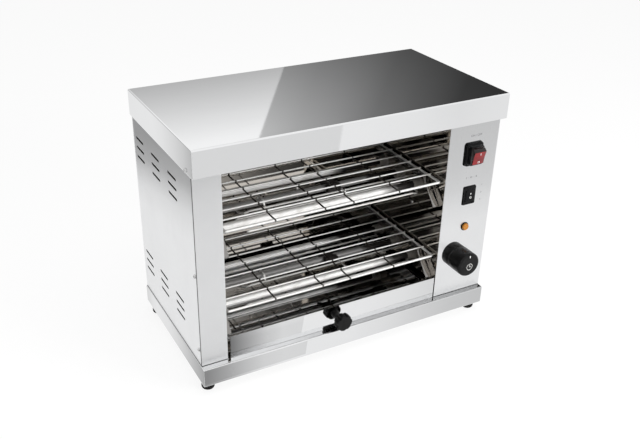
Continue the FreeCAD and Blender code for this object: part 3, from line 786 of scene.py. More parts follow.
@dataclass(frozen=True)
class GlazedQuartz(Finish):
    """Bright glazed quartz with streaks and cloudy patches; right ends and middle tubes are darkened with painted
    shade.
    """

    body: Colour
    cloud: Colour
    # Painted shade: the colour and the fields below that darken the right ends and the middle tube.
    painted_shade_colour: Colour = (0.035, 0.032, 0.030)
    mirror: float = 0.45
    middle: float = 0.006
    half: float = 0.008
    middle_shade: float = 0.72
    shade_fade: tuple[float, float] = (0.07, 0.11)
    slant: float = 0.42
    ragged: float = 0.02

    def mix(self, recipe: Recipe) -> dict[str, object]:
        """Lets streaks and clouds change colour and roughness.

        Args:
            recipe: The material's recipe.

        Returns:
            What the shader's inputs take.
        """
        lines = DrawnLines.use(recipe, Stretch=Grain.ALONG_X.value, Fineness=900.0)[0]
        clouds = FineSpark.use(recipe, Size=500.0)[1]
        x, y, _ = recipe.split()
        glazed = (clouds.spread(0.50, 0.72) * 0.8).blend(self.body, self.cloud)
        # Painted shade: darker towards the right ends along a slanted, ragged line, and over the middle tube.
        ends = (x + y * self.slant + clouds * self.ragged).spread(*self.shade_fade)
        dark = ends | y.near(self.middle, self.half) * self.middle_shade
        return {"Base_Color": dark.blend(glazed, self.painted_shade_colour), "Metallic": self.mirror,
                "Roughness": lines.spread(0.3, 0.7, 0.10, 0.16), "Normal": recipe.relief(0.04, lines)}


@dataclass(frozen=True)
class Moulded(Finish):
    """Moulded plastic, rubber or ceramic with a fine texture and handled patches."""

    body: Colour
    worn: Colour
    smooth: float
    rough: float
    size: float = 1500.0
    relief: float = 0.25
    shine: float = 0.5

    def mix(self, recipe: Recipe) -> dict[str, object]:
        """Lets pits and clouds change colour, roughness and relief.

        Args:
            recipe: The material's recipe.

        Returns:
            What the shader's inputs take.
        """
        pits, clouds = FineSpark.use(recipe, Size=self.size)
        smears, specks = Handling.use(recipe, Amount=0.8)
        share = specks * 0.5 + clouds.spread(0.4, 0.75, 0.0, 0.8)
        gloss = clouds.spread(0.3, 0.7, self.smooth, self.rough)
        return {"Base_Color": self.colour(recipe, share), "Roughness": smears * 0.06 + gloss,
                "Specular_IOR_Level": self.shine, "Normal": recipe.relief(self.relief, pits)}

    def colour(self, recipe: Recipe, share: Value) -> Value:
        """Gives the colour, from the body's tone to the worn one."""
        return share.blend(self.body, self.worn)


@dataclass(frozen=True)
class KnobWithDial(Moulded):
    """Moulded knob with a small printed clock and a pointer line on its face."""

    centre: Vector = field(default_factory=lambda: mm(195.4, -164.95, 132.3))
    depth: float = 0.0012
    clock: tuple[float, float] = (0.001, -0.0032)
    ring: float = 0.0056
    line: float = 0.00055
    pointer: tuple[float, float, float] = (0.0005, 0.0135, 0.0180)

    def colour(self, recipe: Recipe, share: Value) -> Value:
        """Prints the clock and the pointer over the plastic's own colour.

        Args:
            recipe: The material's recipe.
            share: Share of the worn tone.

        Returns:
            The printed colour.
        """
        x, y, z = recipe.split()
        x, z = x - self.centre.x, z - self.centre.z
        across, up = x - self.clock[0], z - self.clock[1]
        ring = across.radius(up).near(self.ring, self.line / 2)
        hand = across.near(0.0, self.line / 2) * up.within(-0.0002, self.ring * 0.75)
        short = across.within(0.0, self.ring * 0.55) * up.within(-0.0004, self.line - 0.0004)
        half, low, high = self.pointer
        printed = (ring | hand | short | x.near(0.0, half) * z.within(low, high)) * (y < self.centre.y + self.depth)
        return printed.blend(super().colour(recipe, share), WHITE_INK)


@dataclass(frozen=True)
class SignedRocker(Moulded):
    """Black rocker with a stroke and a ring moulded white into its face."""

    centre: Vector = field(default_factory=lambda: mm(219.2, -112.0, 236.7))
    signs: tuple[float, float] = (0.0032, -0.0034)
    reach: float = 0.0016
    line: float = 0.0005
    ring: float = 0.00028

    def colour(self, recipe: Recipe, share: Value) -> Value:
        """Lays both signs over the plastic's own colour.

        Args:
            recipe: The material's recipe.
            share: Share of the worn tone.

        Returns:
            The colour with the signs.
        """
        x, y, z = recipe.split()
        x, z = x - self.centre.x, z - self.centre.z
        upper, lower = self.signs
        stroke = x.near(0.0, self.line) * z.near(upper, self.reach)
        ring = x.radius(z - lower).near(self.reach, self.ring)
        return ((stroke | ring) * (y < self.centre.y)).blend(super().colour(recipe, share), WHITE_INK)


@dataclass(frozen=True)
class LampLens(Finish):
    """Coloured lens, a little lit from inside."""

    body: Colour
    deep: Colour
    glow: float

    def lit(self, recipe: Recipe, colour: Value) -> Value:
        """Gives the colour as it is; a lens with dark parts changes it."""
        return colour

    def mix(self, recipe: Recipe) -> dict[str, object]:
        """Lets clouds in the plastic change its colour and glow.

        Args:
            recipe: The material's recipe.

        Returns:
            What the shader's inputs take.
        """
        pits, clouds = FineSpark.use(recipe, Size=500.0)
        colour = self.lit(recipe, clouds.spread(0.35, 0.7).blend(self.body, self.deep))
        return {"Base_Color": colour, "Emission_Color": colour, "Emission_Strength": self.glow,
                "Roughness": pits.spread(0.3, 0.7, 0.12, 0.22), "Coat_Weight": 0.2, "Coat_Roughness": 0.06,
                "Specular_IOR_Level": 0.3, "Normal": recipe.relief(0.15, pits)}


@dataclass(frozen=True)
class RockerLens(LampLens):
    """Lens that is red on the rocker's flat face only; its curved ends and flanks are black."""

    half_width: float = 0.0109
    half_height: float = 0.0113
    lowest: float = 0.006
    side: Colour = (0.006, 0.003, 0.003)

    def lit(self, recipe: Recipe, colour: Value) -> Value:
        """Keeps the colour on the face, which is found by its distances from the rocker's pivot.

        Args:
            recipe: The material's recipe.
            colour: The lens's colour.

        Returns:
            The colour with black ends and flanks.
        """
        x, y, z = recipe.split()
        back, up = y - ROCKER_PIVOT.y, z - ROCKER_PIVOT.z
        cos, sin = math.cos(ROCKER_LEAN), math.sin(ROCKER_LEAN)
        face = (back * cos + up * sin < -self.lowest) * (up * cos - back * sin).near(0.0, self.half_height)
        return (face * x.near(ROCKER_PIVOT.x, self.half_width)).blend(self.side, colour)


class Stock:
    """Every finish on the melter."""

    lid = SheetSteel("lid_steel", 0.015, 0.03, lines=0.006, waves=0.003)
    panel = SheetSteel("panel_steel", 0.27, 0.34, Grain.ALONG_Z, dark=(0.80, 0.805, 0.815))
    side = SheetSteel("side_steel", 0.29, 0.36, Grain.ALONG_Y, dark=(0.80, 0.805, 0.815))
    base = SheetSteel("base_steel", 0.03, 0.05, lines=0.008, waves=0.003)
    cavity = SheetSteel("cavity_steel", 0.015, 0.04, lines=0.003, waves=0.002, handled=0.5,
                        light=(0.60, 0.565, 0.52), dark=(0.50, 0.465, 0.42))
    tray = SheetSteel("tray_steel", 0.02, 0.04, lines=0.006, waves=0.002)
    rail = SheetSteel("rail_steel", 0.05, 0.10, Grain.ALONG_Y, lines=0.02, light=(0.32, 0.31, 0.30),
                      dark=(0.22, 0.21, 0.20))
    hidden = SheetSteel("inner_steel", 0.25, 0.38, Grain.NONE, light=(0.62, 0.62, 0.62), dark=(0.52, 0.52, 0.52))
    rack_wire = RackPlating("rack_wire_plating", (0.95, 0.95, 0.94), (0.84, 0.83, 0.81), 0.10, 0.22, 0.62)
    guard_wire = GuardPlating("guard_wire_plating", (0.92, 0.91, 0.89), (0.74, 0.72, 0.69), 0.12, 0.26, 0.7)
    screw = PlatedWire("screw_plating", (0.72, 0.72, 0.72), (0.55, 0.55, 0.55), 0.14, 0.26)
    quartz = GlazedQuartz("glazed_quartz", (0.97, 0.96, 0.945), (0.74, 0.72, 0.69))
    # The holders' dark tone is painted shade that stands in for the shade in the cavity.
    ceramic = Moulded("fired_ceramic", (0.20, 0.185, 0.165), (0.13, 0.12, 0.105), 0.35, 0.5, size=900.0, relief=0.2)
    dark_ceramic = Moulded("dark_ceramic", (0.014, 0.012, 0.011), (0.03, 0.026, 0.024), 0.35, 0.5, size=900.0,
                           relief=0.3, shine=0.25)
    bezel = Moulded("black_bezel", (0.005, 0.005, 0.0055), (0.009, 0.009, 0.0095), 0.26, 0.36, size=1800.0,
                    relief=0.15, shine=0.07)
    knob = Moulded("black_knob", (0.006, 0.006, 0.006), (0.010, 0.010, 0.010), 0.30, 0.42, shine=0.12)
    dial_knob = KnobWithDial("dial_knob", (0.005, 0.005, 0.005), (0.009, 0.009, 0.009), 0.24, 0.32, relief=0.2,
                             shine=0.14)
    white_block = Moulded("terminal_plastic", (0.74, 0.73, 0.70), (0.64, 0.63, 0.60), 0.35, 0.45)
    case = Moulded("timer_case", (0.05, 0.05, 0.055), (0.08, 0.08, 0.08), 0.4, 0.5)
    rubber = Moulded("foot_rubber", (0.006, 0.006, 0.006), (0.014, 0.013, 0.012), 0.55, 0.75, size=700.0,
                     relief=0.5, shine=0.15)
    selector = SignedRocker("selector_plastic", (0.005, 0.005, 0.0055), (0.009, 0.009, 0.0095), 0.26, 0.36,
                            size=1800.0, relief=0.15, shine=0.07)
    ink = Moulded("grey_print", (0.12, 0.12, 0.125), (0.18, 0.18, 0.185), 0.4, 0.5)
    white_ink = Moulded("white_print", (0.86, 0.86, 0.85), (0.78, 0.78, 0.77), 0.35, 0.45)
    # Painted shadow for the beads in the gaps at the foot of the walls and the front left corner.
    gap_shadow = Moulded("painted_gap_shadow", (0.05, 0.05, 0.052), (0.10, 0.10, 0.10), 0.4, 0.55)
    red = RockerLens("red_lens", (0.20, 0.008, 0.010), (0.10, 0.004, 0.006), 0.06)
    amber = LampLens("amber_lens", (0.38, 0.15, 0.016), (0.22, 0.07, 0.006), 0.05)


@dataclass
class ScrewSet:
    """Cross-recessed pan-head screws. One is modelled, and the rest are copies of it."""

    head_radius: float = 0.0032
    head_height: float = 0.0019
    round_edge: float = 0.0009
    recess_depth: float = 0.0012
    recess_width: float = 0.0008
    recess_reach: float = 0.0019
    shank_radius: float = 0.00175
    shank_length: float = 0.007
    tip_inset: float = 0.35
    tip_length: float = 0.5

    def pattern(self) -> Piece:
        """Models one screw that looks up along +Z from the origin.

        Returns:
            The screw.
        """
        top = self.head_height
        head = Bench.rod("screw", Vector(), Vector((0, 0, top)), self.head_radius, 28)
        Bench.choose(head, Pick.EDGES, lambda middle, run: middle.z > top * 0.99)
        bpy.ops.mesh.bevel(offset=self.round_edge, segments=5, profile=0.5, affect="EDGES")
        Bench.choose(head, Pick.FACES, lambda middle, normal: middle.z < 0.00001 and normal.z < -0.9)
        bpy.ops.mesh.inset(thickness=self.head_radius - self.shank_radius)
        bpy.ops.mesh.extrude_region_move(TRANSFORM_OT_translate={"value": (0, 0, -self.shank_length)})
        bpy.ops.mesh.inset(thickness=self.shank_radius * self.tip_inset)
        bpy.ops.transform.translate(value=(0, 0, -self.shank_radius * self.tip_length))
        reach = (self.recess_reach, self.recess_width / 2)
        for x, y in (reach, reach[::-1]):
            cutter = Bench.block("cutter", Vector((-x, -y, top - self.recess_depth)),
                                 Vector((x, y, top + self.recess_depth)))
            Bench.modify(head, "BOOLEAN", operation="DIFFERENCE", object=cutter, solver="EXACT")
            Bench.drop(cutter)
        return head

    def fit(self, kind: str, facing: Callable[[Vector], Facing]) -> None:
        """Puts a copy of the screw in the place of each screw of a CAD node.

        Args:
            kind: The node's name without its last word, screws.
            facing: Takes the middle of a CAD screw and gives the way that it looks.
        """
        rows = []
        for low, high in self.boxes(f"{kind}_screws"):
            middle, half = (low + high) / 2, (high - low) / 2
            side = facing(middle)
            rows.append((middle + side.out() * (abs(side.out().dot(half)) - self.head_height), side))
        first = self.pattern()
        name = f"{kind}_screw_heads"
        copies = []
        for index, (place, side) in enumerate(rows):
            slot_turn = Matrix.Rotation(math.radians(17 + 41 * index), 4, "Z")
            copies.append(Bench.copy(first, f"{name}_{index}", Matrix.Translation(place) @ side.turn() @ slot_turn))
        Bench.drop(first)
        Bench.settle(Bench.join(name, copies), "cabinet", Stock.screw, "screw_steel", (f"{kind}_screws",))

    @staticmethod
    def boxes(node: str) -> list[tuple[Vector, Vector]]:
        """Finds the box of each separate solid in a CAD node.

        Args:
            node: Name of the node.

        Returns:
            Lowest and highest corner of each solid.
        """
        Bench.merged(node, "probe")
        bpy.ops.mesh.separate(type="LOOSE")
        bpy.ops.object.mode_set(mode="OBJECT")
        found = []
        for part in list(bpy.context.selected_objects):
            points = [vertex.co for vertex in part.data.vertices]
            found.append(tuple(Vector(end(point[axis] for point in points) for axis in range(3))
                               for end in (min, max)))
            Bench.drop(part)
        return found


@dataclass
class Cabinet:
    """Folded sheet body: lid, base, panels, liners, and the screws that hold them."""

    screws: ScrewSet = field(default_factory=ScrewSet)

    def build(self) -> None:
        """Finishes the sheets and puts the screws in."""
        dress(Stock.lid, "top_cover")
        dress(Stock.base, "base_pan")
        dress(Stock.panel, "front_left_post", "control_panel", "front_header")
        dress(Stock.side, "left_side_panel", "right_side_panel", "back_panel")
        dress(Stock.cavity, "cavity_left_liner", "cavity_right_liner", "cavity_back_liner", "ceiling_reflector")
        dress(Stock.hidden, "bottom_plate", "tray_guides")
        centre = (corners("cavity_left_liner")[0].x + corners("cavity_right_liner")[1].x) / 2
        self.screws.fit("left", lambda middle: Facing.LEFT)
        self.screws.fit("right", lambda middle: Facing.RIGHT)
        self.screws.fit("liner", lambda middle: Facing.RIGHT if middle.x < centre else Facing.LEFT)
        self.screws.fit("back", lambda middle: Facing.BACK)


@dataclass
class HeaterBank:
    """Three quartz tubes with their sockets and guards."""

    level: str

    def build(self) -> None:
        """Finishes the bank."""
        dress(Stock.quartz, f"quartz_tubes_{self.level}")
        dress(Stock.ceramic, f"tube_holders_{self.level}")
        dress(Stock.guard_wire, f"guard_wires_{self.level}")


@dataclass
class WireRack:
    """Sliding rack: bent frame, cross wires and depth wires, with a weld at each crossing."""

    level: str
    frame_radius: float = 0.002
    wire_radius: float = 0.0013
    bars: int = 7
    bar_rise: float = 0.003
    stays: tuple[float, ...] = (-0.109, -0.025, 0.025, 0.109)
    bead: float = 0.0017
    bulge: tuple[float, float, float] = (1.18, 1.18, 0.8)
    flat: float = 0.62
    rail_edge: float = 0.00035

    def build(self) -> None:
        """Finishes the rack and its rails and adds the welds."""
        node = f"{self.level}_rack"
        dress(Stock.rack_wire, node)
        for side in ("left", "right"):
            Bench.rounded(f"{self.level}_{side}_rail", f"{self.level}_{side}_ramp", self.rail_edge, "cabinet",
                          Stock.rail, "cavity_steel", angle=25, smooth=30)
        low, high = corners(node)
        left, right = low.x + self.frame_radius, high.x - self.frame_radius
        front, back = low.y + self.frame_radius, high.y - self.frame_radius
        height = low.z + self.frame_radius + self.bar_rise - self.wire_radius
        columns = (left, right, *((left + right) / 2 + stay for stay in self.stays))
        rows = (front + (back - front) * (index + 1) / (self.bars + 1) for index in range(self.bars))
        first = self.weld()
        copies = [Bench.copy(first, f"weld_{index}", Matrix.Translation((x, y, height)))
                  for index, (y, x) in enumerate(product(rows, columns))]
        Bench.drop(first)
        Bench.settle(Bench.join(f"{self.level}_rack_welds", copies), node, Stock.rack_wire, "wire_chrome", smooth=80)

    def weld(self) -> Piece:
        """Models one weld: a flattened blob that fills the corner between two wires.

        Returns:
            The weld, round the origin.
        """
        Bench.clear()
        bpy.ops.mesh.primitive_ico_sphere_add(subdivisions=2, radius=self.bead)
        blob = Bench.name("weld")
        Bench.choose(blob, Pick.FACES, lambda middle, normal: abs(normal.z) < 0.6)
        bpy.ops.transform.resize(value=self.bulge)
        Bench.choose(blob)
        bpy.ops.transform.resize(value=(1.0, 1.0, self.flat))
        bpy.ops.object.mode_set(mode="OBJECT")
        return blob


@dataclass
class CrumbTray:
    """Pull-out tray with its star knob."""

    soft_edge: float = 0.0011

    def build(self) -> None:
        """Finishes the tray and rounds the star knob's lobes."""
        dress(Stock.tray, "crumb_tray")
        dress(Stock.screw, "tray_knob_stud")
        Bench.rounded("tray_knob", "star_knob", self.soft_edge, "tray", Stock.knob, "black_plastic", angle=40)


@dataclass
class RockerSwitch:
    """Panel switch: bezel and rocker, each a CAD node with the name of its rounded copy."""

    bezel: tuple[str, str]
    rocker: tuple[str, str]
    body: str
    finish: Finish
    slot: str
    edge: float

    def build(self) -> None:
        """Rounds the bezel and the rocker, which no reflection shows."""
        Bench.rounded(*self.bezel, self.edge, "cabinet", Stock.bezel, "black_plastic", mirrored=False)
        Bench.rounded(*self.rocker, self.edge * 0.8, self.body, self.finish, self.slot, mirrored=False)


@dataclass
class Marks:
    """Generic signs: printed on the control panel and pressed into the main switch."""

    printed: tuple[tuple[str, str, tuple[float, float, float], float], ...] = (
        ("print_main", "ON / OFF", (219.5, -115.47, 342.5), 0.0054),
        ("print_selector", "I  -  O  -  II", (219.5, -115.47, 268.6), 0.0050),
        ("print_first", "I", (243.5, -115.47, 250.3), 0.0034),
        ("print_middle", "O", (243.5, -115.47, 236.7), 0.0034),
        ("print_second", "II", (243.5, -115.47, 223.3), 0.0034))
    pressed: tuple[tuple[str, str, float, float], ...] = (
        ("sign_on", "I", 0.0071, 0.0062), ("sign_off", "O", -0.0076, 0.0052))
    face: float = 0.00992
    aside: float = 0.0009
    thickness: float = 0.00004

    def build(self) -> None:
        """Makes the panel's print and the two signs on the main switch."""
        for name, words, place, size in self.printed:
            Bench.settle(self.mark(name, words, mm(*place), size), "cabinet", Stock.ink, "terminal_plastic")
        cos, sin = math.cos(ROCKER_LEAN), math.sin(ROCKER_LEAN)
        for name, words, rise, size in self.pressed:
            place = ROCKER_PIVOT + Vector((0, -cos, -sin)) * self.face + Vector((0, -sin, cos)) * rise
            place.x += self.aside
            Bench.settle(self.mark(name, words, place, size, ROCKER_LEAN), "main_rocker", Stock.white_ink,
                         "terminal_plastic")

    def mark(self, name: str, words: str, place: Vector, size: float, lean: float = 0.0) -> Piece:
        """Makes raised letters that look to the front.

        Args:
            name: Name of the piece.
            words: The generic sign or number.
            place: Middle of the mark.
            size: Height of the letters.
            lean: Turn that leans the mark forward at its top.

        Returns:
            The mark.
        """
        Bench.clear()
        bpy.ops.object.text_add(location=place, rotation=(math.pi / 2 + lean, 0, 0))
        letters = bpy.context.object
        letters.data.body = words
        letters.data.size = size
        letters.data.align_x = "CENTER"
        letters.data.align_y = "CENTER"
        letters.data.extrude = self.thickness
        bpy.ops.object.convert(target="MESH")
        mark = Bench.name(name)
        Bench.choose(mark)
        bpy.ops.mesh.remove_doubles(threshold=0.000001)
        Bench.clear()
        return mark


@dataclass
class GapShadows:
    """Thin dark beads in the folds at the foot of the walls and down the front left corner: painted shadow that
    stands in for the shade in the gaps.
    """

    radius: float = 0.0006

    def build(self) -> None:
        """Lays the beads."""
        post_low, post_high = corners("front_left_post")
        panel_low, panel_high = corners("control_panel")
        foot = corners("base_pan")[1].z + self.radius * 0.5
        start = Vector((post_low.x, post_low.y, foot))
        runs = (("gap_shadow_post", start, Vector((post_high.x, post_low.y, foot))),
                ("gap_shadow_panel", Vector((panel_low.x, panel_low.y, foot)),
                 Vector((panel_high.x, panel_low.y, foot))),
                ("gap_shadow_side", start, Vector((post_low.x, corners("left_side_panel")[1].y, foot))),
                ("gap_shadow_corner", start, Vector((post_low.x, post_low.y, corners("top_cover")[0].z))))
        for name, first, last in runs:
            bead = Bench.rod(name, first, last, self.radius, 12)
            Bench.modify(bead, "BEVEL", width=self.radius * 0.4, segments=2, limit_method="ANGLE",
                         angle_limit=math.radians(60))
            Bench.settle(bead, "cabinet", Stock.gap_shadow, "black_plastic", smooth=50)


@dataclass
class PilotLamp:
    """Round lamp with a rim and a domed lens."""

    def build(self) -> None:
        """Finishes the rim and the lens."""
        dress(Stock.bezel, "pilot_lamp_body")
        dress(Stock.amber, "pilot_lamp_lens")


@dataclass
class Timer:
    """Clockwork timer: case behind the panel, shaft and skirted knob."""

    edge: float = 0.0006

    def build(self) -> None:
        """Rounds the knob, which no reflection shows, and finishes the rest."""
        dress(Stock.case, "timer_body")
        dress(Stock.screw, "timer_shaft")
        Bench.rounded("timer_knob", "dial_knob", self.edge, "timer", Stock.dial_knob, "black_plastic", mirrored=False)


@dataclass
class Underside:
    """Rubber feet and their screws."""

    edge: float = 0.0005

    def build(self) -> None:
        """Finishes the feet and their screws."""
        Bench.rounded("feet", "rubber_feet", self.edge, "cabinet", Stock.rubber, "foot_rubber")
        dress(Stock.screw, "foot_screws")


@dataclass
class Rear:
    """Cable gland and terminal block."""

    edge: float = 0.0005

    def build(self) -> None:
        """Finishes both."""
        Bench.rounded("cable_gland", "rear_gland", self.edge, "cabinet", Stock.bezel, "black_plastic")
        dress(Stock.white_block, "terminal_block")


@dataclass
class Card:
    """A sheet in the studio that only reflections show: it darkens or lights what lies behind it."""

    name: str
    corners: tuple[Point, ...]

    def make(self) -> Piece:
        """Makes the card from a plane and moves its corners to their places.

        Returns:
            The card.
        """
        Bench.clear()
        bpy.ops.mesh.primitive_plane_add(size=1)
        card = Bench.name(self.name)
        loop = [card.data.vertices[index] for index in card.data.polygons[0].vertices]
        for vertex, corner in zip(loop, self.corners):
            vertex.co = corner
        for ray in ("camera", "diffuse", "transmission", "volume_scatter", "shadow"):
            setattr(card, f"visible_{ray}", False)
        return card


@dataclass
class Studio:
    """White room, floor, lamps, veils and the camera at the photograph's place."""

    eye: Point = (-0.59842, -1.05712, 0.82535)
    turn: Point = (1.068876, -0.016453, -0.489827)
    lens: float = 45.69
    shift: tuple[float, float] = (0.0194, 0.0220)
    floor_size: float = 9.0
    floor_lift: float = 0.87
    floor_mirror: float = 0.93
    soft_light: float = 0.55
    aim: Vector = field(default_factory=lambda: Vector((0.0, 0.0, 0.2)))
    lamp_rows: tuple[tuple[str, Point, float, float], ...] = (
        ("key_lamp", (0.2, -0.6, 2.4), 1.6, 26.0), ("fill_lamp", (-1.9, -1.2, 1.5), 1.2, 8.0),
        ("front_lamp", (1.15, -1.75, 0.75), 0.9, 40.0))
    backdrop_edge: Point = (1.434, 1.408, 0.402)
    mirror_eye: tuple[float, float] = (-0.598, 1.317)
    blades: int = 7
    blade_start: float = -0.30
    blade_step: float = 0.08
    blade_box: tuple[float, ...] = (-0.118, -0.25, 0.003, 0.5)
    late_length: float = 0.21
    late_share: float = 0.97
    back_length: tuple[float, float] = (0.25, 0.29)
    pane_box: tuple[float, ...] = (-0.23, 0.168, -0.1135, 0.095, 0.36)
    pane_stops: tuple[tuple[float, float], ...] = (
        (-0.23, 0.14), (-0.10, 0.34), (0.0, 0.70), (0.08, 0.88), (0.168, 0.95))
    veil_gap: float = 0.0006
    ledge: float = 0.0115
    # Veils of painted shade on the faces' reflections: name, node, facing, direction and the stops of each share.
    graded: tuple[tuple[str, str, Facing, Point, tuple[tuple[float, float], ...]], ...] = (
        ("skirt_veil", "top_cover", Facing.FRONT, (1, 0, 0), ((0.0, 0.0), (0.10, 0.04), (0.17, 0.09), (0.26, 0.05))),
        ("base_veil", "base_pan", Facing.FRONT, (1, 0, 0), (
            (-0.26, 0.63), (-0.228, 0.45), (-0.197, 0.25), (-0.165, 0.06), (-0.13, 0.0), (0.0, 0.02), (0.075, 0.11),
            (0.136, 0.22), (0.197, 0.29), (0.26, 0.33))),
        ("tray_veil", "crumb_tray", Facing.FRONT, (1, 0, 0), (
            (-0.215, 0.74), (-0.183, 0.43), (-0.155, 0.16), (-0.126, 0.0), (0.017, 0.0), (0.10, 0.07), (0.16, 0.16))),
        ("ledge_veil", "base_pan", Facing.UP, (1, 0, 0), (
            (-0.12, 0.03), (-0.06, 0.22), (0.02, 0.36), (0.15, 0.46), (0.22, 0.50), (0.26, 0.60))),
        ("post_veil", "front_left_post", Facing.FRONT, (0, 0, 1), (
            (0.05, 0.0), (0.26, 0.0), (0.30, 0.02), (0.335, 0.06), (0.36, 0.14))),
        ("panel_veil", "control_panel", Facing.FRONT, (0, 0, 1), (
            (0.18, 0.0), (0.22, 0.08), (0.25, 0.18), (0.29, 0.24), (0.36, 0.30))),
        ("side_veil", "left_side_panel", Facing.LEFT, (0, 0.2, 1), (
            (0.24, 0.0), (0.28, 0.10), (0.31, 0.30), (0.33, 0.48), (0.37, 0.60))),
        ("lid_side_veil", "top_cover", Facing.LEFT, (0, 1, 0), (
            (-0.13, 0.42), (-0.096, 0.28), (-0.06, 0.18), (-0.01, 0.08), (0.03, 0.04), (0.14, 0.05))),
        ("base_side_veil", "base_pan", Facing.LEFT, (0, 1, 0), (
            (-0.13, 0.54), (-0.08, 0.37), (-0.03, 0.22), (0.02, 0.10), (0.09, 0.04), (0.115, 0.08), (0.14, 0.17))))

    def build(self) -> None:
        """Sets the whole studio up."""
        self.camera()
        self.room()
        self.floor()
        self.lamps()
        self.backdrop_card()
        self.floor_card()
        self.veils()
        self.baffles()
        self.pane()

    def camera(self) -> None:
        """Puts the camera at the photograph's place."""
        data = bpy.data.cameras.new("photo_camera")
        data.lens = self.lens
        data.sensor_width = 36.0
        data.shift_x, data.shift_y = self.shift
        data.clip_end = 30.0
        camera = Bench.link("photo_camera", data)
        camera.location = self.eye
        camera.rotation_euler = self.turn
        bpy.context.scene.camera = camera

    def room(self) -> None:
        """Makes the world white where it is seen or reflected, and plain soft light elsewhere."""
        world = bpy.data.worlds.new("white_room")
        bpy.context.scene.world = world
        recipe = Recipe.of(world)
        seen = recipe.path("Is Camera Ray") | recipe.path("Is Glossy Ray") | recipe.path("Is Transmission Ray")
        light = recipe.take("Background", Color=WHITE, Strength=seen.spread(0.0, 1.0, self.soft_light, 1.0))
        recipe.add("OutputWorld", Surface=light)

    def floor(self) -> None:
        """Lays a white floor that keeps a soft shadow."""
        Bench.clear()
        bpy.ops.mesh.primitive_plane_add(size=self.floor_size)
        floor = Bench.name("studio_floor")
        made = bpy.data.materials.new("studio_floor")
        recipe = Recipe.of(made)
        mirrored = recipe.path("Is Glossy Ray")
        matt = recipe.take("BsdfDiffuse", Color=(0.95, 0.95, 0.95))
        lift = recipe.take("Emission", Color=WHITE, Strength=mirrored.spread(0.0, 1.0, 1.0, self.floor_mirror))
        share = mirrored | recipe.path("Is Camera Ray") * self.floor_lift
        recipe.add("OutputMaterial", Surface=share.layer(matt, lift))
        floor.data.materials.append(made)

    def lamps(self) -> None:
        """Hangs the soft lamps."""
        for name, place, size, power in self.lamp_rows:
            data = bpy.data.lights.new(name, "AREA")
            data.size = size
            data.energy = power
            lamp = Bench.link(name, data)
            lamp.location = place
            lamp.rotation_euler = (self.aim - Vector(place)).to_track_quat("-Z", "Y").to_euler()
            lamp.visible_camera = False
            lamp.visible_glossy = False

    def backdrop_card(self) -> None:
        """Hangs the card whose slanted edge crosses the lid's reflection, dark towards the right."""
        card = Card("backdrop_card", ((-4.0, 3.0, 0.7), (6.0, 3.0, 0.7), (6.0, 3.0, 3.0), (-4.0, 3.0, 3.0))).make()
        made = bpy.data.materials.new("backdrop_card")
        recipe = Recipe.of(made)
        x, _, z = recipe.split()
        edge_x, edge_z, slope = self.backdrop_edge
        edge = x - edge_x + (z - edge_z) * slope
        shade = edge.ramp((0.0, 0.56), (0.24, 0.42), (0.51, 0.31), (0.80, 0.18), (1.06, 0.12), (1.46, 0.05),
                          (1.90, 0.028))
        light = recipe.take("Emission", Color=(edge > 0.0).blend(WHITE, shade),
                            Strength=z.spread(1.38, 1.78, 0.5, 1.02))
        recipe.add("OutputMaterial", Surface=light)
        card.data.materials.append(made)

    def floor_card(self) -> None:
        """Lays the grey card whose edge crosses the front's reflections."""
        card = Card("front_floor_card", ((-0.0789, -0.15, 0.002), (1.40, -2.377, 0.002), (-2.6, -2.377, 0.002),
                                         (-2.6, -0.15, 0.002)))
        self.veil(card, "front_floor_card", lambda recipe, spot: spot[1].ramp(
            (-0.84, 0.155), (-0.76, 0.10), (-0.45, 0.06), (-0.235, 0.05), (-0.21, 0.155)))

    def veils(self) -> None:
        """Hangs a graded veil close before each outer face, which paints shade on the light that the face reflects.
        """
        for name, node, side, along, stops in self.graded:
            low, high = corners(node)
            if side is Facing.FRONT:
                y = low.y - self.veil_gap
                edges = ((low.x, y, low.z), (high.x, y, low.z), (high.x, y, high.z), (low.x, y, high.z))
            elif side is Facing.UP:
                z, back = high.z + self.veil_gap / 2, low.y + self.ledge
                edges = ((low.x, low.y, z), (high.x, low.y, z), (high.x, back, z), (low.x, back, z))
            else:
                x = low.x - self.veil_gap
                edges = ((x, high.y, low.z), (x, low.y, low.z), (x, low.y, high.z), (x, high.y, high.z))
            self.veil(Card(name, edges), name, partial(self.graded_share, along, stops))

    @staticmethod
    def graded_share(along: Point, stops: tuple[tuple[float, float], ...], recipe: Recipe,
                     spot: tuple[Value, ...]) -> Value:
        """Gives a veil's share of painted shade from stops along a direction, for light that leaves the face to the
        camera.

        Args:
            along: The direction.
            stops: Place along it and share of each stop.
            recipe: The veil's recipe.
            spot: The object coordinates.

        Returns:
            The share.
        """
        x, y, z = (value * part for value, part in zip(spot, along))
        leaving = recipe.take("NewGeometry", "Backfacing") * (recipe.path("Ray Depth") < ONE_BOUNCE)
        return (x + y + z).ramp(*stops) * leaving

    def baffles(self) -> None:
        """Stands dark blades before the opening, along the rays that the back wall sends out.

        Rays that met a side wall as well run across them and end there, as on the photograph.
        """
        # The blades paint shade on what the cavity sends out after two bounces or more.
        near, far, low, high = self.blade_box
        for index in range(self.blades):
            x = self.blade_start + self.blade_step * index
            away = x + (x - self.mirror_eye[0]) / (near - self.mirror_eye[1]) * (far - near)
            blade = Card(f"baffle_{index}", ((x, near, low), (away, far, low), (away, far, high), (x, near, high)))
            self.veil(blade, "baffle", self.late)

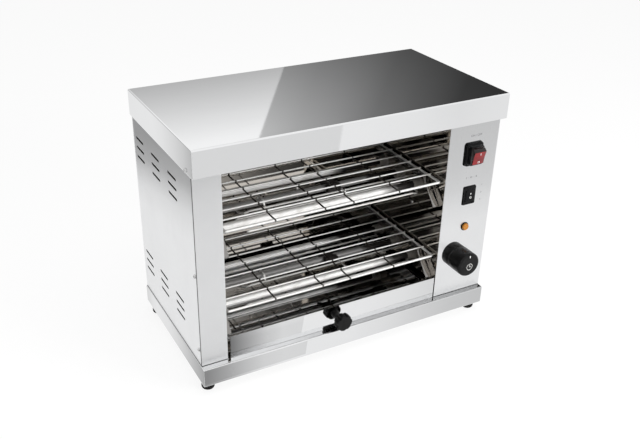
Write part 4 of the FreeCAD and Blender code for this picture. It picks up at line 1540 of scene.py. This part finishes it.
    def late(self, recipe: Recipe, spot: tuple[Value, ...]) -> Value:
        """Takes light from rays that come out of the opening after two bounces or more."""
        inner = recipe.path("Ray Length") > self.late_length
        return (recipe.path("Ray Depth") > ONE_BOUNCE) * inner * self.late_share

    def pane(self) -> None:
        """Hangs a graded veil in the opening, clear at the left and dark at the right, which paints shade over the
        cavity.
        """
        left, right, y, low, high = self.pane_box
        pane = Card("opening_pane", ((left, y, low), (right, y, low), (right, y, high), (left, y, high)))
        self.veil(pane, "opening_pane", self.from_back)

    def from_back(self, recipe: Recipe, spot: tuple[Value, ...]) -> Value:
        """Takes light from rays that come straight from the back wall, more of it towards the right."""
        return recipe.path("Ray Length").spread(*self.back_length) * spot[0].ramp(*self.pane_stops)

    @staticmethod
    def veil(card: Card, name: str, share: Callable[[Recipe, tuple[Value, ...]], Value]) -> None:
        """Makes a card of dark glass.

        Args:
            card: The card.
            name: Name of its material.
            share: Takes the recipe and the object coordinates and gives the share of light that the card takes.
        """
        sheet = card.make()
        made = bpy.data.materials.get(name)
        if not made:
            made = bpy.data.materials.new(name)
            recipe = Recipe.of(made)
            dark = recipe.take("Emission", Color=(0.0, 0.0, 0.0), Strength=0.0)
            both = share(recipe, recipe.split()).layer(recipe.take("BsdfTransparent", Color=WHITE), dark)
            recipe.add("OutputMaterial", Surface=both)
        sheet.data.materials.append(made)


def main() -> None:
    """Builds every sub-assembly in order."""
    logging.basicConfig(level=logging.INFO, format="%(name)s: %(message)s")
    Cabinet().build()
    for level in ("top", "middle", "bottom"):
        HeaterBank(level).build()
    dress(Stock.guard_wire, "guard_clips")
    dress(Stock.dark_ceramic, "centre_supports")
    for level in ("upper", "lower"):
        WireRack(level).build()
    CrumbTray().build()
    RockerSwitch(("main_switch_body", "main_switch_bezel"), ("main_switch_rocker", "main_rocker_lens"),
                 "main_rocker", Stock.red, "red_lens", 0.0009).build()
    RockerSwitch(("selector_body", "selector_bezel"), ("selector_rocker", "selector_rocker_cap"),
                 "selector", Stock.selector, "black_plastic", 0.0005).build()
    for part in (Marks, GapShadows, PilotLamp, Timer, Underside, Rear, Studio):
        part().build()
    bpy.context.scene.view_settings.view_transform = "Standard"


if __name__ == "__main__":
    main()
